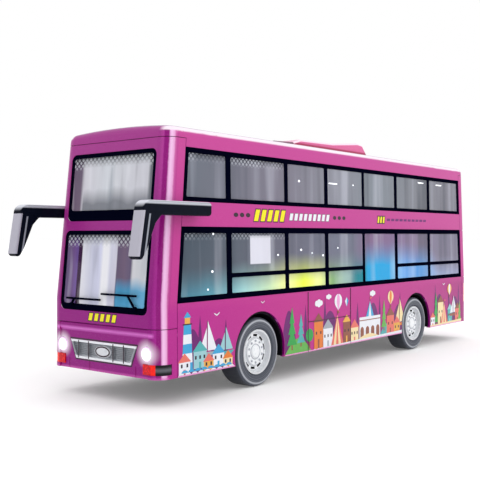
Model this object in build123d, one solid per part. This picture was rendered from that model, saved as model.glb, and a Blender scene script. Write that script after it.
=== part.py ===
from build123d import *
import os

os.makedirs("parts", exist_ok=True)

# Lengths are in millimetres. X points to the bus's own left side, Y to its rear and Z up.
# A station is a distance behind the flat of the nose, measured along Y.

# Side windows, from the nose to the tail, and the pillars between them
PANE_LENGTHS = [22.25, 30.0, 24.0, 25.8, 25.8, 29.6, 31.8]
PILLAR_WIDTHS = [2.4, 2.0, 2.2, 1.6, 2.2, 2.2]
NOSE_LENGTH = 7.75
TAIL_LENGTH = 7.1
PANE_FRONT_EDGE = 1.4
PANE_REAR_EDGE = 2.0

# Cross-section of the coachwork, from the ground up
BODY_WIDTH = 50.0
SKIRT_Z = 8.6
SKIRT_HEIGHT = 22.3
LOWER_BAND_HEIGHT = 23.3
BELT_HEIGHT = 7.7
UPPER_BAND_HEIGHT = 16.7
TOP_RAIL_HEIGHT = 2.7
CANT_RAIL_HEIGHT = 3.2
ROOF_CROWN = 1.2
ROOF_EDGE_R = 2.6
CORNER_R = 4.6
WALL = 1.6
SEAM = 0.2
FIT = 0.06
# Slopes of the sides, the nose and the tail above the skirt
SIDE_LEAN = 0.019
NOSE_LEAN = 0.10
TAIL_LEAN = 0.034

# Axles and wheels
TYRE_R = 11.75
TYRE_W = 8.5
TYRE_SHOULDER_R = 1.3
TYRE_TUCK = 1.0
REAR_AXLE_SHIFT = 2.1
RIM_R = 7.7
RIM_LIP = 0.7
DISC_R = 5.0
DISC_RECESS = 1.3
HUB_R = 1.9
HUB_PROUD = 0.4
HUB_STUB = 1.0
SLOT_COUNT = 10
SLOT_ARC_DEG = 22.0
SLOT_W = 0.8
SLOT_DEPTH = 1.2
DISH_DEPTH = 0.6
AXLE_R = 1.0
AXLE_END_IN = 2.5
AXLE_CLEARANCE = 0.06
PRESS_GAP = 0.02
ARCH_GAP = 2.15

# Window bands: edges round the panes, the rail across some lower panes, and the layers of the wall
BAND_EDGES = {"lower": {"low": 1.7, "high": 2.0}, "upper": {"low": 1.4, "high": 1.6}}
PANE_R = 0.5
TRANSOM_RISE = 6.85
TRANSOM_HEIGHT = 1.35
TRANSOM_PANES = (1, 2, 3, 5, 6)
FRAME_INSET = 0.12
FRAME_DEPTH = 1.0
GLASS_DEPTH = 1.5
PANE_INSET = 0.32
REBATE = 0.6

# Nose and tail windows, measured from the body side and from the bands' edges
NOSE_WINDOWS = {
    "lower": {"side": 5.0, "low": -3.4, "high": -1.2, "sill": 2.0},
    "upper": {"side": 5.4, "low": -5.9, "high": -0.7, "sill": 3.4},
}
TAIL_WINDOWS = {
    "lower": {"side": 8.0, "low": 3.1, "high": -1.6},
    "upper": {"side": 6.5, "low": 0.5, "high": -1.2},
}
WINDOW_BORDER = 1.3
WINDOW_R = 2.2

# Lower nose, with rises above the skirt and insets from the body side
BUMPER_HEIGHT = 14.9
LIP_HEIGHT = 2.2
PANEL_RECESS = 0.5
HEADLAMP_IN = 5.6
HEADLAMP_RISE = 7.5
HEADLAMP_R = 2.2
HEADLAMP_PROUD = 0.3
CORNER_LAMP_RISE = 1.3
CORNER_LAMP_HEIGHT = 3.1
CORNER_LAMP_IN = 7.0
CORNER_LAMP_RED_W = 3.2
CORNER_LAMP_STATION = 5.4
GRILLE_IN = 9.8
GRILLE_TAPER = 2.6
GRILLE_RISE = 3.5
GRILLE_HEIGHT = 5.9
GRILLE_EDGE = 0.7
GRILLE_DEPTH = 1.2
GRILLE_PLATE = 0.5
GRILLE_PROUD = 0.2
GRILLE_BAR_PLACES = [-11.4, -6.6, 4.8, 9.5]
GRILLE_BAR_W = 0.35
GRILLE_SLATS = 7
GRILLE_SLAT_BACK = 0.3
OVAL_W = 7.2
OVAL_HEIGHT = 3.7
BUMPER_SPLIT_PLACES = [-16.0, -6.2, 14.7]
GROOVE_W = 0.3
GROOVE_DEPTH = 0.3

# Tail fittings, with rises above the skirt and insets from the body side
TAIL_LAMP_IN = 6.4
TAIL_LAMPS = {"amber": {"rise": 9.8, "height": 3.8}, "red": {"rise": 13.8, "height": 5.2}}
LOUVRE_IN = 13.0
LOUVRE_RISE = 5.4
LOUVRE_PITCH = 2.0
LOUVRE_W = 1.0
LOUVRE_COUNT = 5

# Flap in the left side wall, from the front of the third window
FLAP_START = 11.5
FLAP_LENGTH = 30.2
FLAP_MID_RISE = 10.9

# Doors in the right side wall, hinged at their front edges
DOORS = {
    "front": {"pane": 0, "start": 3.65, "end": -0.4, "leaves": 1},
    "middle": {"pane": 3, "start": -0.3, "end": 0.6, "leaves": 2},
}
DOOR_RISE = 1.8
DOOR_GAP = 0.25
DOOR_FRAME = 2.0
DOOR_PANE_RISE = 9.6
HINGE_R = 1.2
HINGE_PIN_R = 0.5
HINGE_PIN_L = 0.8
HINGE_CLEARANCE = 0.08
HINGE_BOSS = 1.4
PIN_END_GAP = 0.2

# Roof pod: lengths between its breaks, and the height of each break above the roof's edge
POD_STATION = 73.0
POD_LENGTHS = [11.0, 5.0, 23.0, 19.6, 4.1, 4.2, 2.4]
POD_HEIGHTS = [2.2, 2.7, 4.0, 4.5, 6.3, 5.9, 1.7, 1.5]
POD_IN = 11.0
POD_EDGE_R = 1.0

# Mirrors: an arm along the body with a head that hangs ahead of the nose
MIRROR_REACH = 13.5
MIRROR_GAP = 1.0
MIRROR_W = 4.0
MIRROR_ARM_RISE = 3.1
MIRROR_ARM_HEIGHT = 4.2
MIRROR_ARM_STATION = 18.0
MIRROR_DROP = 13.3
MIRROR_LEAN = 2.2
MIRROR_NECK = 9.8
MIRROR_HEAD = 7.3
MIRROR_HEAD_DROP = 2.4
MIRROR_TIP = 1.6
MIRROR_TIP_BACK = 4.0
MIRROR_TIP_RISE = 3.7
MIRROR_BEND_R = 3.0
MIRROR_END_R = 1.2
MIRROR_EDGE_R = 0.5
MIRROR_FACE_T = 0.9
MIRROR_PEG_R = 1.3

# Wipers: insets from the windscreen frame's sides and heights above its lower edge
WIPERS = [
    {"side": 1, "end": 4.3, "joint": 8.0, "foot": 4.9, "rise": 5.7},
    {"side": -1, "end": 3.8, "joint": 7.6, "foot": 5.9, "rise": 3.8},
]
WIPER_TIP_GAP = 0.2
WIPER_T = 0.6
WIPER_FOOT_R = 0.6
WIPER_FOOT_RISE = 1.8

# Floors, steps, seats and cab
FLOOR_T = 1.2
FLOOR_GAP = 0.35
SIDE_GAP = 0.2
UPPER_FLOOR_RISE = 3.4
AISLE_W = 12.2
SEAT_SIDE_GAP = 2.5
SEAT_RISE = 5.0
SEAT_DEPTH = 7.5
SEAT_BACK_HEIGHT = 14.0
SEAT_BACK_T = 1.6
SEAT_BACK_LEAN = 2.2
SEAT_PITCH = 17.0
LOWER_ROWS_STATION = 62.0
UPPER_ROWS_STATION = 24.0
LOWER_ROWS_GAP = 30.0
UPPER_ROWS_GAP = 10.0
STEPWELL_DEPTH = 11.0
STEP_COUNT = 2
CAB_INNER_X = 4.0
CAB_SIDE_GAP = 5.5
DASH_STATION = 3.2
DASH_DEPTH = 9.3
DASH_LOW_DEPTH = 6.8
DASH_EDGE_HEIGHT = 4.0
DASH_LOW_HEIGHT = 5.0
DASH_HEIGHT = 6.4
STEERING_R = 4.0
STEERING_RIM_R = 0.5
STEERING_SPOKE_W = 1.0
STEERING_RISE = 8.0
STEERING_BACK = 2.0
STEERING_TILT_DEG = -55.0
COLUMN_R = 0.6
COLUMN_L = 5.6
DRIVER_SEAT_W = 9.0
DRIVER_SEAT_GAP = 7.5
DRIVER_SEAT_DEPTH = 8.0
DRIVER_SEAT_RISE = 5.5
DRIVER_BACK_HEIGHT = 17.0

# Base plate
BASE_RISE = 0.4
BASE_T = 1.5
BAY_CLEARANCE = 1.5
LINER_T = 0.7
LINER_GAP = 0.1
BEARING_L = 2.6
BEARING_HALF = 2.4
MOTOR_GAP = 0.4
STAND_STATIONS = [80.0, 130.0]
STAND_HOLE_R = 1.25
STAND_HOLE_DEPTH = 6.0
STAND_BOSS_R = 3.0
HATCH_STATION = 92.0
HATCH_LENGTH = 26.0
HATCH_W = 24.0
HATCH_T = 0.7
SPEAKER_STATION = 186.0
SPEAKER_HOLE_R = 0.7
SPEAKER_PITCH = 2.4
SPEAKER_ROWS = 3
SPEAKER_COLUMNS = 5

# Stations and heights that follow from the sizes above
PANES = []
station = NOSE_LENGTH + SEAM + PANE_FRONT_EDGE
for length, pillar in zip(PANE_LENGTHS, PILLAR_WIDTHS + [PANE_REAR_EDGE + SEAM]):
    PANES.append((station, station + length))
    station += length + pillar
TAIL_STATION = station
BODY_LENGTH = TAIL_STATION + TAIL_LENGTH
FRONT_Y = (MIRROR_REACH - BODY_LENGTH) / 2
REAR_Y = FRONT_Y + BODY_LENGTH
HALF = BODY_WIDTH / 2
SILL_Z = SKIRT_Z + SKIRT_HEIGHT
BELT_Z = SILL_Z + LOWER_BAND_HEIGHT
BANDS = {
    "lower": (SILL_Z, BELT_Z),
    "upper": (BELT_Z + BELT_HEIGHT, BELT_Z + BELT_HEIGHT + UPPER_BAND_HEIGHT),
}
ROOF_SEAM_Z = BANDS["upper"][1] + TOP_RAIL_HEIGHT
ROOF_EDGE_Z = ROOF_SEAM_Z + CANT_RAIL_HEIGHT
BUMPER_SEAM_Z = SKIRT_Z + BUMPER_HEIGHT
LIP_Z = BUMPER_SEAM_Z - LIP_HEIGHT
PANEL_Y = FRONT_Y + PANEL_RECESS
DOOR_LOW_Z = SKIRT_Z + DOOR_RISE
DOOR_HIGH_Z = BELT_Z - DOOR_GAP
HINGE_X = HINGE_R - HALF
AXLE_STATIONS = {
    "front": sum(PANES[1]) / 2,
    "rear": sum(PANES[5]) / 2 + REAR_AXLE_SHIFT,
}
AXLE_Z = TYRE_R
ARCH_R = TYRE_R + ARCH_GAP
TYRE_OUTER_X = HALF - TYRE_TUCK
AXLE_END_X = TYRE_OUTER_X - AXLE_END_IN
BAY_INNER_X = TYRE_OUTER_X - TYRE_W - BAY_CLEARANCE
BEARING_INNER_X = BAY_INNER_X - LINER_T - BEARING_L
LOWER_FLOOR_Z = AXLE_Z + ARCH_R + FLOOR_GAP
UPPER_FLOOR_Z = BELT_Z + UPPER_FLOOR_RISE
BASE_Z = SKIRT_Z + BASE_RISE
BASE_TOP_Z = BASE_Z + BASE_T
STEP_X = STEPWELL_DEPTH - HALF
CAB_X = (CAB_INNER_X + HALF - CAB_SIDE_GAP) / 2
# How far a cutting solid runs past what it cuts, and lengths that run past the whole body
PAST = 2.0
FAR_X = 2 * HALF
FRONT_FAR_Y = FRONT_Y - PAST
REAR_FAR_Y = REAR_Y + PAST


def at(place):
    """The Y of a station."""
    return FRONT_Y + place


def yz_prism(points, x_low, x_high, radius=0.0):
    """A prism along X over an outline in Y and Z, with its corners rounded."""
    face = make_face(Polyline(*points, close=True))
    if radius:
        face = fillet(face.vertices(), radius)
    return extrude(Plane.YZ.offset(x_low) * face, x_high - x_low)


def xz_prism(points, y_low, y_high, radius=0.0):
    """A prism along Y over an outline in X and Z, with its corners rounded."""
    face = make_face(Polyline(*points, close=True))
    if radius:
        face = fillet(face.vertices(), radius)
    return extrude(Plane.XZ.offset(-y_high) * face, y_high - y_low)


def block(x_range, y_range, z_range):
    """A box between two values on each axis."""
    spans = [sorted(r) for r in (x_range, y_range, z_range)]
    centre = [(low + high) / 2 for low, high in spans]
    return Pos(*centre) * Box(*[high - low for low, high in spans])


def x_rod(radius, x_range, y, z):
    """A cylinder along X."""
    low, high = sorted(x_range)
    return Pos((low + high) / 2, y, z) * Rot(0, 90, 0) * Cylinder(radius, high - low)


def y_rod(radius, y_range, x, z):
    """A cylinder along Y."""
    low, high = sorted(y_range)
    return Pos(x, (low + high) / 2, z) * Rot(90, 0, 0) * Cylinder(radius, high - low)


def z_rod(radius, z_range, x, y):
    """A cylinder along Z."""
    low, high = sorted(z_range)
    return Pos(x, y, (low + high) / 2) * Cylinder(radius, high - low)


def plan_section(z, inset):
    """The coachwork's outline in plan at height z, moved inwards by inset."""
    rise = max(z - SILL_Z, 0)
    front = FRONT_Y + NOSE_LEAN * rise + inset
    rear = REAR_Y - TAIL_LEAN * rise - inset
    width = 2 * (wall_x(z) - inset)
    return Pos(0, (front + rear) / 2, z) * RectangleRounded(width, rear - front, CORNER_R - inset)


def wall_x(z):
    """Half the width over the side walls at height z."""
    return HALF - SIDE_LEAN * max(z - SILL_Z, 0)


def nose_y(place, z):
    """The Y of a line that follows the nose: upright below the sill, leaning back above it."""
    return at(place) + NOSE_LEAN * max(z - SILL_Z, 0)


def tail_y(place, z):
    """The Y of a line that follows the tail: upright below the sill, leaning in above it."""
    return at(place) - TAIL_LEAN * max(z - SILL_Z, 0)


def crown_prism(inset):
    """The space under the crowned roof, moved down by inset."""
    edge = ROOF_EDGE_Z - inset
    arc = ThreePointArc((-HALF, edge), (0, edge + ROOF_CROWN), (HALF, edge))
    low = SILL_Z - PAST
    rest = Polyline((HALF, edge), (HALF, low), (-HALF, low), (-HALF, edge))
    return extrude(Plane.XZ * make_face([arc, rest]), BODY_LENGTH, both=True)


def envelope(inset, low):
    """The closed outer form of the coachwork, moved inwards by inset, down to height low."""
    top = ROOF_EDGE_Z + ROOF_CROWN + PAST
    upper = loft([plan_section(SILL_Z, inset), plan_section(top, inset)])
    upper = upper & crown_prism(inset)
    rim = upper.faces().sort_by(Axis.Z)[-1].edges()
    upper = fillet(rim, ROOF_EDGE_R - inset)
    return extrude(plan_section(low, inset), SILL_Z - low) + upper


LAYERS = {}


def layer(inset):
    """The envelope at an inset, made once; every inner one runs out past the skirt."""
    if inset not in LAYERS:
        LAYERS[inset] = envelope(inset, SKIRT_Z - PAST if inset else SKIRT_Z)
    return LAYERS[inset]


def skin(outer, inner, region):
    """The part of the coachwork between two insets that lies in a region."""
    return (region & layer(outer)) - layer(inner)


def side_region(front_station, rear_station, low, high, side):
    """A space over one side wall whose ends follow the nose and the tail."""
    heights = sorted({low, min(max(low, SILL_Z), high), high})
    front = [(nose_y(front_station, z), z) for z in heights]
    rear = [(tail_y(rear_station, z), z) for z in reversed(heights)]
    x_range = (HALF / 2, FAR_X) if side == "left" else (-FAR_X, -HALF / 2)
    return yz_prism(front + rear, *x_range)


def nose_region(low, high):
    """The space ahead of the nose seam between two heights."""
    heights = sorted({low, min(max(low, SILL_Z), high), high})
    back = [(nose_y(NOSE_LENGTH - SEAM / 2, z), z) for z in heights]
    return yz_prism(back + [(FRONT_FAR_Y, high), (FRONT_FAR_Y, low)], -FAR_X, FAR_X)


def tail_region(low, high):
    """The space behind the tail seam between two heights."""
    heights = sorted({low, min(max(low, SILL_Z), high), high})
    front = [(tail_y(TAIL_STATION + SEAM / 2, z), z) for z in heights]
    return yz_prism(front + [(REAR_FAR_Y, high), (REAR_FAR_Y, low)], -FAR_X, FAR_X)


def band_region(deck, side, end_gap, edge_gap=0.0):
    """The space of a window band, short of the nose and tail seams by end_gap."""
    low, high = BANDS[deck]
    return side_region(NOSE_LENGTH + end_gap, TAIL_STATION - end_gap, low + edge_gap, high - edge_gap, side)


def opening_region(deck, side, gap=0.0):
    """The opening through the wall behind a band's grid, made smaller by gap."""
    low, high = BANDS[deck]
    edge = REBATE + gap
    return side_region(PANES[0][0] + gap, PANES[-1][1] - gap, low + edge, high - edge, side)


def pane_outlines(deck, gap=0.0, skipped=()):
    """The outlines of a band's panes in Y and Z, made smaller by gap; the end panes follow nose and tail."""
    low = BANDS[deck][0] + BAND_EDGES[deck]["low"]
    high = BANDS[deck][1] - BAND_EDGES[deck]["high"]
    rail_low = BANDS[deck][0] + TRANSOM_RISE
    outlines = []
    for index, (front, rear) in enumerate(PANES):
        if index in skipped:
            continue
        front, rear = front + gap, rear - gap
        heights = [low, high]
        if deck == "lower" and index in TRANSOM_PANES:
            heights = [low, rail_low, rail_low + TRANSOM_HEIGHT, high]
        for bottom, top in zip(heights[0::2], heights[1::2]):
            bottom, top = bottom + gap, top - gap
            corners = []
            for z in (bottom, top):
                corners.append((nose_y(front, z) if index == 0 else at(front), z))
            for z in (top, bottom):
                corners.append((tail_y(rear, z) if index == len(PANES) - 1 else at(rear), z))
            outlines.append(corners)
    return outlines


def door_span(name):
    """The front and rear Y of a door."""
    door = DOORS[name]
    front, rear = PANES[door["pane"]]
    return at(front + door["start"]), at(rear + door["end"])


def door_region(name, grow=0.0):
    """The space of a door leaf, grown by a gap on its four edges."""
    front, rear = door_span(name)
    return block((-FAR_X, -HALF / 2), (front - grow, rear + grow), (DOOR_LOW_Z - grow, DOOR_HIGH_Z + grow))


def hinge_y(name):
    """The Y of a door's hinge axis."""
    return door_span(name)[0] + HINGE_R


def hinge_bosses(name, grow=0.0):
    """The two blocks behind the wall that hold a door's hinge pins."""
    y = hinge_y(name)
    x_range = (WALL / 2 - HALF, WALL - HALF + HINGE_BOSS + grow)
    y_range = (y - HINGE_BOSS - grow, y + HINGE_BOSS + grow)
    low, high = DOOR_LOW_Z - DOOR_GAP, DOOR_HIGH_Z + DOOR_GAP
    lower = block(x_range, y_range, (SKIRT_Z, low + grow))
    return lower + block(x_range, y_range, (high - grow, high + 2 * HINGE_BOSS))


def hinge_sweep(name):
    """The space that a door's hinge edge turns in, with a clearance."""
    z_range = (DOOR_LOW_Z - DOOR_GAP, DOOR_HIGH_Z + DOOR_GAP)
    return z_rod(HINGE_R + SIDE_GAP, z_range, HINGE_X, hinge_y(name))


def flap_grooves():
    """The grooves round the flap below the left windows."""
    x_range = (HALF - GROOVE_DEPTH, FAR_X)
    front = at(PANES[2][0] + FLAP_START)
    rear = front + FLAP_LENGTH
    top, middle = SILL_Z - SEAM, SKIRT_Z + FLAP_MID_RISE
    grooves = block(x_range, (front, front + GROOVE_W), (SKIRT_Z - PAST, top))
    grooves += block(x_range, (rear - GROOVE_W, rear), (SKIRT_Z - PAST, top))
    return grooves + block(x_range, (front, rear), (middle, middle + GROOVE_W))


def body_side(side):
    """One side wall, from nose seam to tail seam and from skirt to roof seam."""
    wall = skin(0, WALL, side_region(NOSE_LENGTH + SEAM / 2, TAIL_STATION - SEAM / 2,
                                     SKIRT_Z, ROOF_SEAM_Z, side))
    for place in AXLE_STATIONS.values():
        wall -= x_rod(ARCH_R, (-FAR_X, FAR_X), at(place), AXLE_Z)
    for deck in BANDS:
        wall -= band_region(deck, side, -SEAM) - layer(FRAME_DEPTH)
        wall -= opening_region(deck, side)
    if side == "left":
        return wall - flap_grooves()
    for name in DOORS:
        wall += hinge_bosses(name)
        wall -= door_region(name, DOOR_GAP)
        wall -= hinge_sweep(name)
        pin_hole = (DOOR_LOW_Z - DOOR_GAP - HINGE_PIN_L, DOOR_HIGH_Z + DOOR_GAP + HINGE_PIN_L)
        wall -= z_rod(HINGE_PIN_R + HINGE_CLEARANCE, pin_hole, HINGE_X, hinge_y(name))
    return wall


def side_slab(side, outer, inner):
    """The flat layer of a side wall above the sill, between two insets."""
    sign = 1 if side == "left" else -1
    points = []
    for z, inset in ((SILL_Z, outer), (ROOF_SEAM_Z, outer), (ROOF_SEAM_Z, inner), (SILL_Z, inner)):
        points.append((sign * (wall_x(z) - inset), z))
    return xz_prism(points, at(NOSE_LENGTH), at(TAIL_STATION))


def window_frame(deck, side):
    """The black grid of one window band."""
    frame = band_region(deck, side, SEAM, FIT) & side_slab(side, FRAME_INSET, FRAME_DEPTH)
    for outline in pane_outlines(deck):
        frame -= yz_prism(outline, -FAR_X, FAR_X, PANE_R)
    if side == "right" and deck == "lower":
        for name in DOORS:
            frame -= door_region(name, DOOR_GAP)
    return frame


def window_glass(deck, side):
    """The clear sheet behind one window band's grid, with a raised pad in each pane that has no door."""
    glass = opening_region(deck, side, FIT) & side_slab(side, FRAME_DEPTH, GLASS_DEPTH)
    slab = side_slab(side, PANE_INSET, (FRAME_DEPTH + GLASS_DEPTH) / 2)
    doors = [door["pane"] for door in DOORS.values()] if side == "right" and deck == "lower" else []
    for outline in pane_outlines(deck, FIT, doors):
        glass += yz_prism(outline, -FAR_X, FAR_X, PANE_R - FIT) & slab
    if side == "right" and deck == "lower":
        for name in DOORS:
            glass -= door_region(name, DOOR_GAP)
            glass -= hinge_sweep(name)
    return glass


def roof():
    """The roof, with the rounded cant rails, above the seam."""
    top = ROOF_EDGE_Z + ROOF_CROWN + PAST
    return skin(0, WALL, block((-FAR_X, FAR_X), (FRONT_FAR_Y, REAR_FAR_Y), (ROOF_SEAM_Z, top)))


def roof_pod():
    """The low housing on the roof: a flat nose, a long rising top and a steep tail."""
    y = at(POD_STATION)
    outline = [(y, ROOF_EDGE_Z + POD_HEIGHTS[0])]
    for step, height in zip(POD_LENGTHS, POD_HEIGHTS[1:]):
        y += step
        outline.append((y, ROOF_EDGE_Z + height))
    base = ROOF_EDGE_Z - PAST
    half = HALF - POD_IN
    pod = yz_prism(outline + [(y, base), (outline[0][0], base)], -half, half)
    long_edges = [e for e in pod.edges() if abs(abs(e.center().X) - half) < FIT
                  and e.center().Z > ROOF_EDGE_Z + POD_HEIGHTS[0] and e.length > min(POD_LENGTHS) - FIT]
    return fillet(long_edges, POD_EDGE_R) - layer(0)


def window_edges(windows, deck):
    """The half width, lower edge and upper edge of a nose or tail window."""
    window = windows[deck]
    return HALF - window["side"], BANDS[deck][0] + window["low"], BANDS[deck][1] + window["high"]


def window_prism(windows, deck, grow, y_range):
    """The space of a nose or tail window, grown on all edges, over a depth."""
    half, low, high = window_edges(windows, deck)
    half, low, high = half + grow, low - grow, high + grow
    return xz_prism([(-half, low), (half, low), (half, high), (-half, high)], *y_range, WINDOW_R + grow)


def nose_window(deck, grow=0.0):
    """The space of a windscreen's black frame, grown on all edges."""
    return window_prism(NOSE_WINDOWS, deck, grow, (FRONT_FAR_Y, at(2 * NOSE_LENGTH)))


def tail_window(deck, grow=0.0):
    """The space of a rear window's black frame, grown on all edges."""
    return window_prism(TAIL_WINDOWS, deck, grow, (REAR_Y - 2 * TAIL_LENGTH, REAR_FAR_Y))


def nose_pane(deck, gap=0.0):
    """The clear part of a windscreen, above its black sill, made smaller by gap."""
    half, low, high = window_edges(NOSE_WINDOWS, deck)
    half, high = half - WINDOW_BORDER - gap, high - WINDOW_BORDER - gap
    low += NOSE_WINDOWS[deck]["sill"] + gap
    return xz_prism([(-half, low), (half, low), (half, high), (-half, high)],
                    FRONT_FAR_Y, at(2 * NOSE_LENGTH), WINDOW_R - WINDOW_BORDER - gap)


def front_mask():
    """The nose panel between bumper and roof, with its two window openings."""
    mask = skin(0, WALL, nose_region(BUMPER_SEAM_Z + SEAM / 2, ROOF_SEAM_Z - SEAM))
    for deck in BANDS:
        mask -= nose_window(deck) - layer(FRAME_DEPTH)
        mask -= nose_window(deck, -REBATE)
    return mask


def windscreen_frame(deck):
    """A windscreen's black frame."""
    return skin(FRAME_INSET, FRAME_DEPTH, nose_window(deck, -FIT)) - nose_pane(deck)


def windscreen(deck):
    """A windscreen's clear sheet, raised where its frame is open."""
    sheet = skin(FRAME_DEPTH, GLASS_DEPTH, nose_window(deck, -REBATE - FIT))
    return sheet + skin(PANE_INSET, GLASS_DEPTH, nose_pane(deck, FIT))


def tail_lamp_region(colour, grow=0.0):
    """The space of one colour of the tail lamps, wrapped round both rear corners."""
    low = SKIRT_Z + TAIL_LAMPS[colour]["rise"]
    z_range = (low - grow, low + TAIL_LAMPS[colour]["height"] + grow)
    y_range = (REAR_Y - CORNER_R - grow, REAR_FAR_Y)
    inner = HALF - TAIL_LAMP_IN - grow
    return block((inner, FAR_X), y_range, z_range) + block((-inner, -FAR_X), y_range, z_range)


def rear_mask():
    """The tail panel with its window openings, lamp recesses, louvres and seam grooves."""
    mask = skin(0, WALL, tail_region(SKIRT_Z, ROOF_SEAM_Z - SEAM))
    for deck in BANDS:
        mask -= tail_window(deck) - layer(FRAME_DEPTH)
        mask -= tail_window(deck, -REBATE)
    for colour in TAIL_LAMPS:
        mask -= tail_lamp_region(colour, FIT) - layer(FRAME_DEPTH)
    for z in BANDS["lower"]:
        mask -= tail_region(z - GROOVE_W, z) - layer(GROOVE_DEPTH)
    half = HALF - LOUVRE_IN
    for slot in range(LOUVRE_COUNT):
        z = SKIRT_Z + LOUVRE_RISE + slot * LOUVRE_PITCH
        mask -= block((-half, half), (REAR_Y - FRAME_DEPTH, REAR_FAR_Y), (z, z + LOUVRE_W))
    return mask


def rear_window_frames():
    """The black frames of both rear windows."""
    frames = []
    for deck in BANDS:
        frames.append(skin(FRAME_INSET, FRAME_DEPTH, tail_window(deck, -FIT)) - tail_window(deck, -WINDOW_BORDER))
    return Compound(children=frames)


def rear_windows():
    """The clear sheets of both rear windows, raised where their frames are open."""
    sheets = []
    for deck in BANDS:
        sheet = skin(FRAME_DEPTH, GLASS_DEPTH, tail_window(deck, -REBATE - FIT))
        sheets.append(sheet + skin(PANE_INSET, GLASS_DEPTH, tail_window(deck, -WINDOW_BORDER - FIT)))
    return Compound(children=sheets)


def tail_lamps(colour):
    """The tail lamps of one colour, on both sides."""
    return skin(FRAME_INSET, FRAME_DEPTH - FIT, tail_lamp_region(colour))


def corner_lamp_region(inner_in, outer_in, grow=0.0):
    """The space of a part of the corner lamps, between two insets from the body side, on both sides."""
    low = SKIRT_Z + CORNER_LAMP_RISE
    z_range = (low - grow, low + CORNER_LAMP_HEIGHT + grow)
    y_range = (FRONT_FAR_Y, at(CORNER_LAMP_STATION) + grow)
    inner, outer = HALF - inner_in - grow, HALF - outer_in + grow
    return block((inner, outer), y_range, z_range) + block((-inner, -outer), y_range, z_range)


def corner_lamps(part):
    """The red inner or the smoked outer part of the corner lamps."""
    split = CORNER_LAMP_IN - CORNER_LAMP_RED_W
    if part == "red":
        return skin(FRAME_INSET, WALL, corner_lamp_region(CORNER_LAMP_IN, split + FIT))
    return skin(FRAME_INSET, WALL, corner_lamp_region(split, -PAST))


def grille_prism(inset, y_range):
    """The grille's tapered outline, made smaller by inset, over a depth."""
    low = SKIRT_Z + GRILLE_RISE
    slope = GRILLE_TAPER / GRILLE_HEIGHT
    top = HALF - GRILLE_IN - inset * (1 + slope)
    bottom = HALF - GRILLE_IN - GRILLE_TAPER - inset * (1 - slope)
    low, high = low + inset, low + GRILLE_HEIGHT - inset
    return xz_prism([(-bottom, low), (bottom, low), (top, high), (-top, high)], *y_range)


def oval_prism(grow, y_range):
    """The oval boss in the grille's middle, over a depth."""
    oval = Ellipse(OVAL_W / 2 + grow, OVAL_HEIGHT / 2 + grow)
    z = SKIRT_Z + GRILLE_RISE + GRILLE_HEIGHT / 2
    return Pos(0, 0, z) * extrude(Plane.XZ.offset(-y_range[1]) * oval, y_range[1] - y_range[0])


def bumper_recess():
    """The space ahead of the set-back panel and of the rounded lip above it."""
    low, high = SKIRT_Z - PAST, BUMPER_SEAM_Z
    lip = ThreePointArc((PANEL_Y, LIP_Z), (FRONT_Y, LIP_Z + LIP_HEIGHT / 2), (PANEL_Y, high))
    rest = Polyline((PANEL_Y, high), (FRONT_FAR_Y, high), (FRONT_FAR_Y, low), (PANEL_Y, low), (PANEL_Y, LIP_Z))
    flat = HALF - CORNER_R
    return extrude(Plane.YZ.offset(-flat) * make_face([lip, rest]), 2 * flat)


def front_bumper():
    """The lower nose panel: a rounded lip above a set-back panel with lamp holes and a grille pocket."""
    bumper = skin(0, WALL + PANEL_RECESS, nose_region(SKIRT_Z, BUMPER_SEAM_Z - SEAM / 2))
    bumper -= bumper_recess()
    bumper -= grille_prism(-FIT, (FRONT_FAR_Y, PANEL_Y + GRILLE_DEPTH))
    for x in (HEADLAMP_IN - HALF, HALF - HEADLAMP_IN):
        bumper -= y_rod(HEADLAMP_R + FIT, (FRONT_FAR_Y, at(NOSE_LENGTH)), x, SKIRT_Z + HEADLAMP_RISE)
    bumper -= corner_lamp_region(CORNER_LAMP_IN, -PAST, FIT)
    for x in BUMPER_SPLIT_PLACES:
        bumper -= block((x - GROOVE_W / 2, x + GROOVE_W / 2), (FRONT_FAR_Y, PANEL_Y + GROOVE_DEPTH),
                        (SKIRT_Z - PAST, SKIRT_Z + GRILLE_RISE - GROOVE_W))
    return bumper


def grille():
    """The grille: a rim round thin slats and upright bars before a back plate."""
    back_y = PANEL_Y + GRILLE_DEPTH
    plate_y = back_y - GRILLE_PLATE
    body = grille_prism(0, (PANEL_Y - GRILLE_PROUD, back_y)) - grille_prism(GRILLE_EDGE, (FRONT_FAR_Y, plate_y))
    fill = grille_prism(GRILLE_EDGE / 2, (FRONT_FAR_Y, back_y))
    low, height = SKIRT_Z + GRILLE_RISE, GRILLE_HEIGHT
    pitch = (height - 2 * GRILLE_EDGE) / (GRILLE_SLATS + 1)
    for slat in range(GRILLE_SLATS):
        z = low + GRILLE_EDGE + (slat + 1) * pitch
        body += block((-HALF, HALF), (PANEL_Y + GRILLE_SLAT_BACK, back_y), (z - pitch / 4, z + pitch / 4)) & fill
    for x in GRILLE_BAR_PLACES:
        body += block((x - GRILLE_BAR_W / 2, x + GRILLE_BAR_W / 2), (PANEL_Y, back_y), (low, low + height)) & fill
    return body - oval_prism(FIT, (FRONT_FAR_Y, plate_y))


def grille_oval():
    """The blank oval boss."""
    return oval_prism(0, (PANEL_Y - GRILLE_PROUD, PANEL_Y + GRILLE_DEPTH - GRILLE_PLATE))


def headlamps():
    """The two round headlamp lenses."""
    span = (PANEL_Y - HEADLAMP_PROUD, PANEL_Y + WALL)
    lenses = []
    for x in (HEADLAMP_IN - HALF, HALF - HEADLAMP_IN):
        lens = y_rod(HEADLAMP_R, span, x, SKIRT_Z + HEADLAMP_RISE)
        lenses.append(fillet(lens.edges().sort_by(Axis.Y)[0], HEADLAMP_PROUD))
    return Compound(children=lenses)


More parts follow.
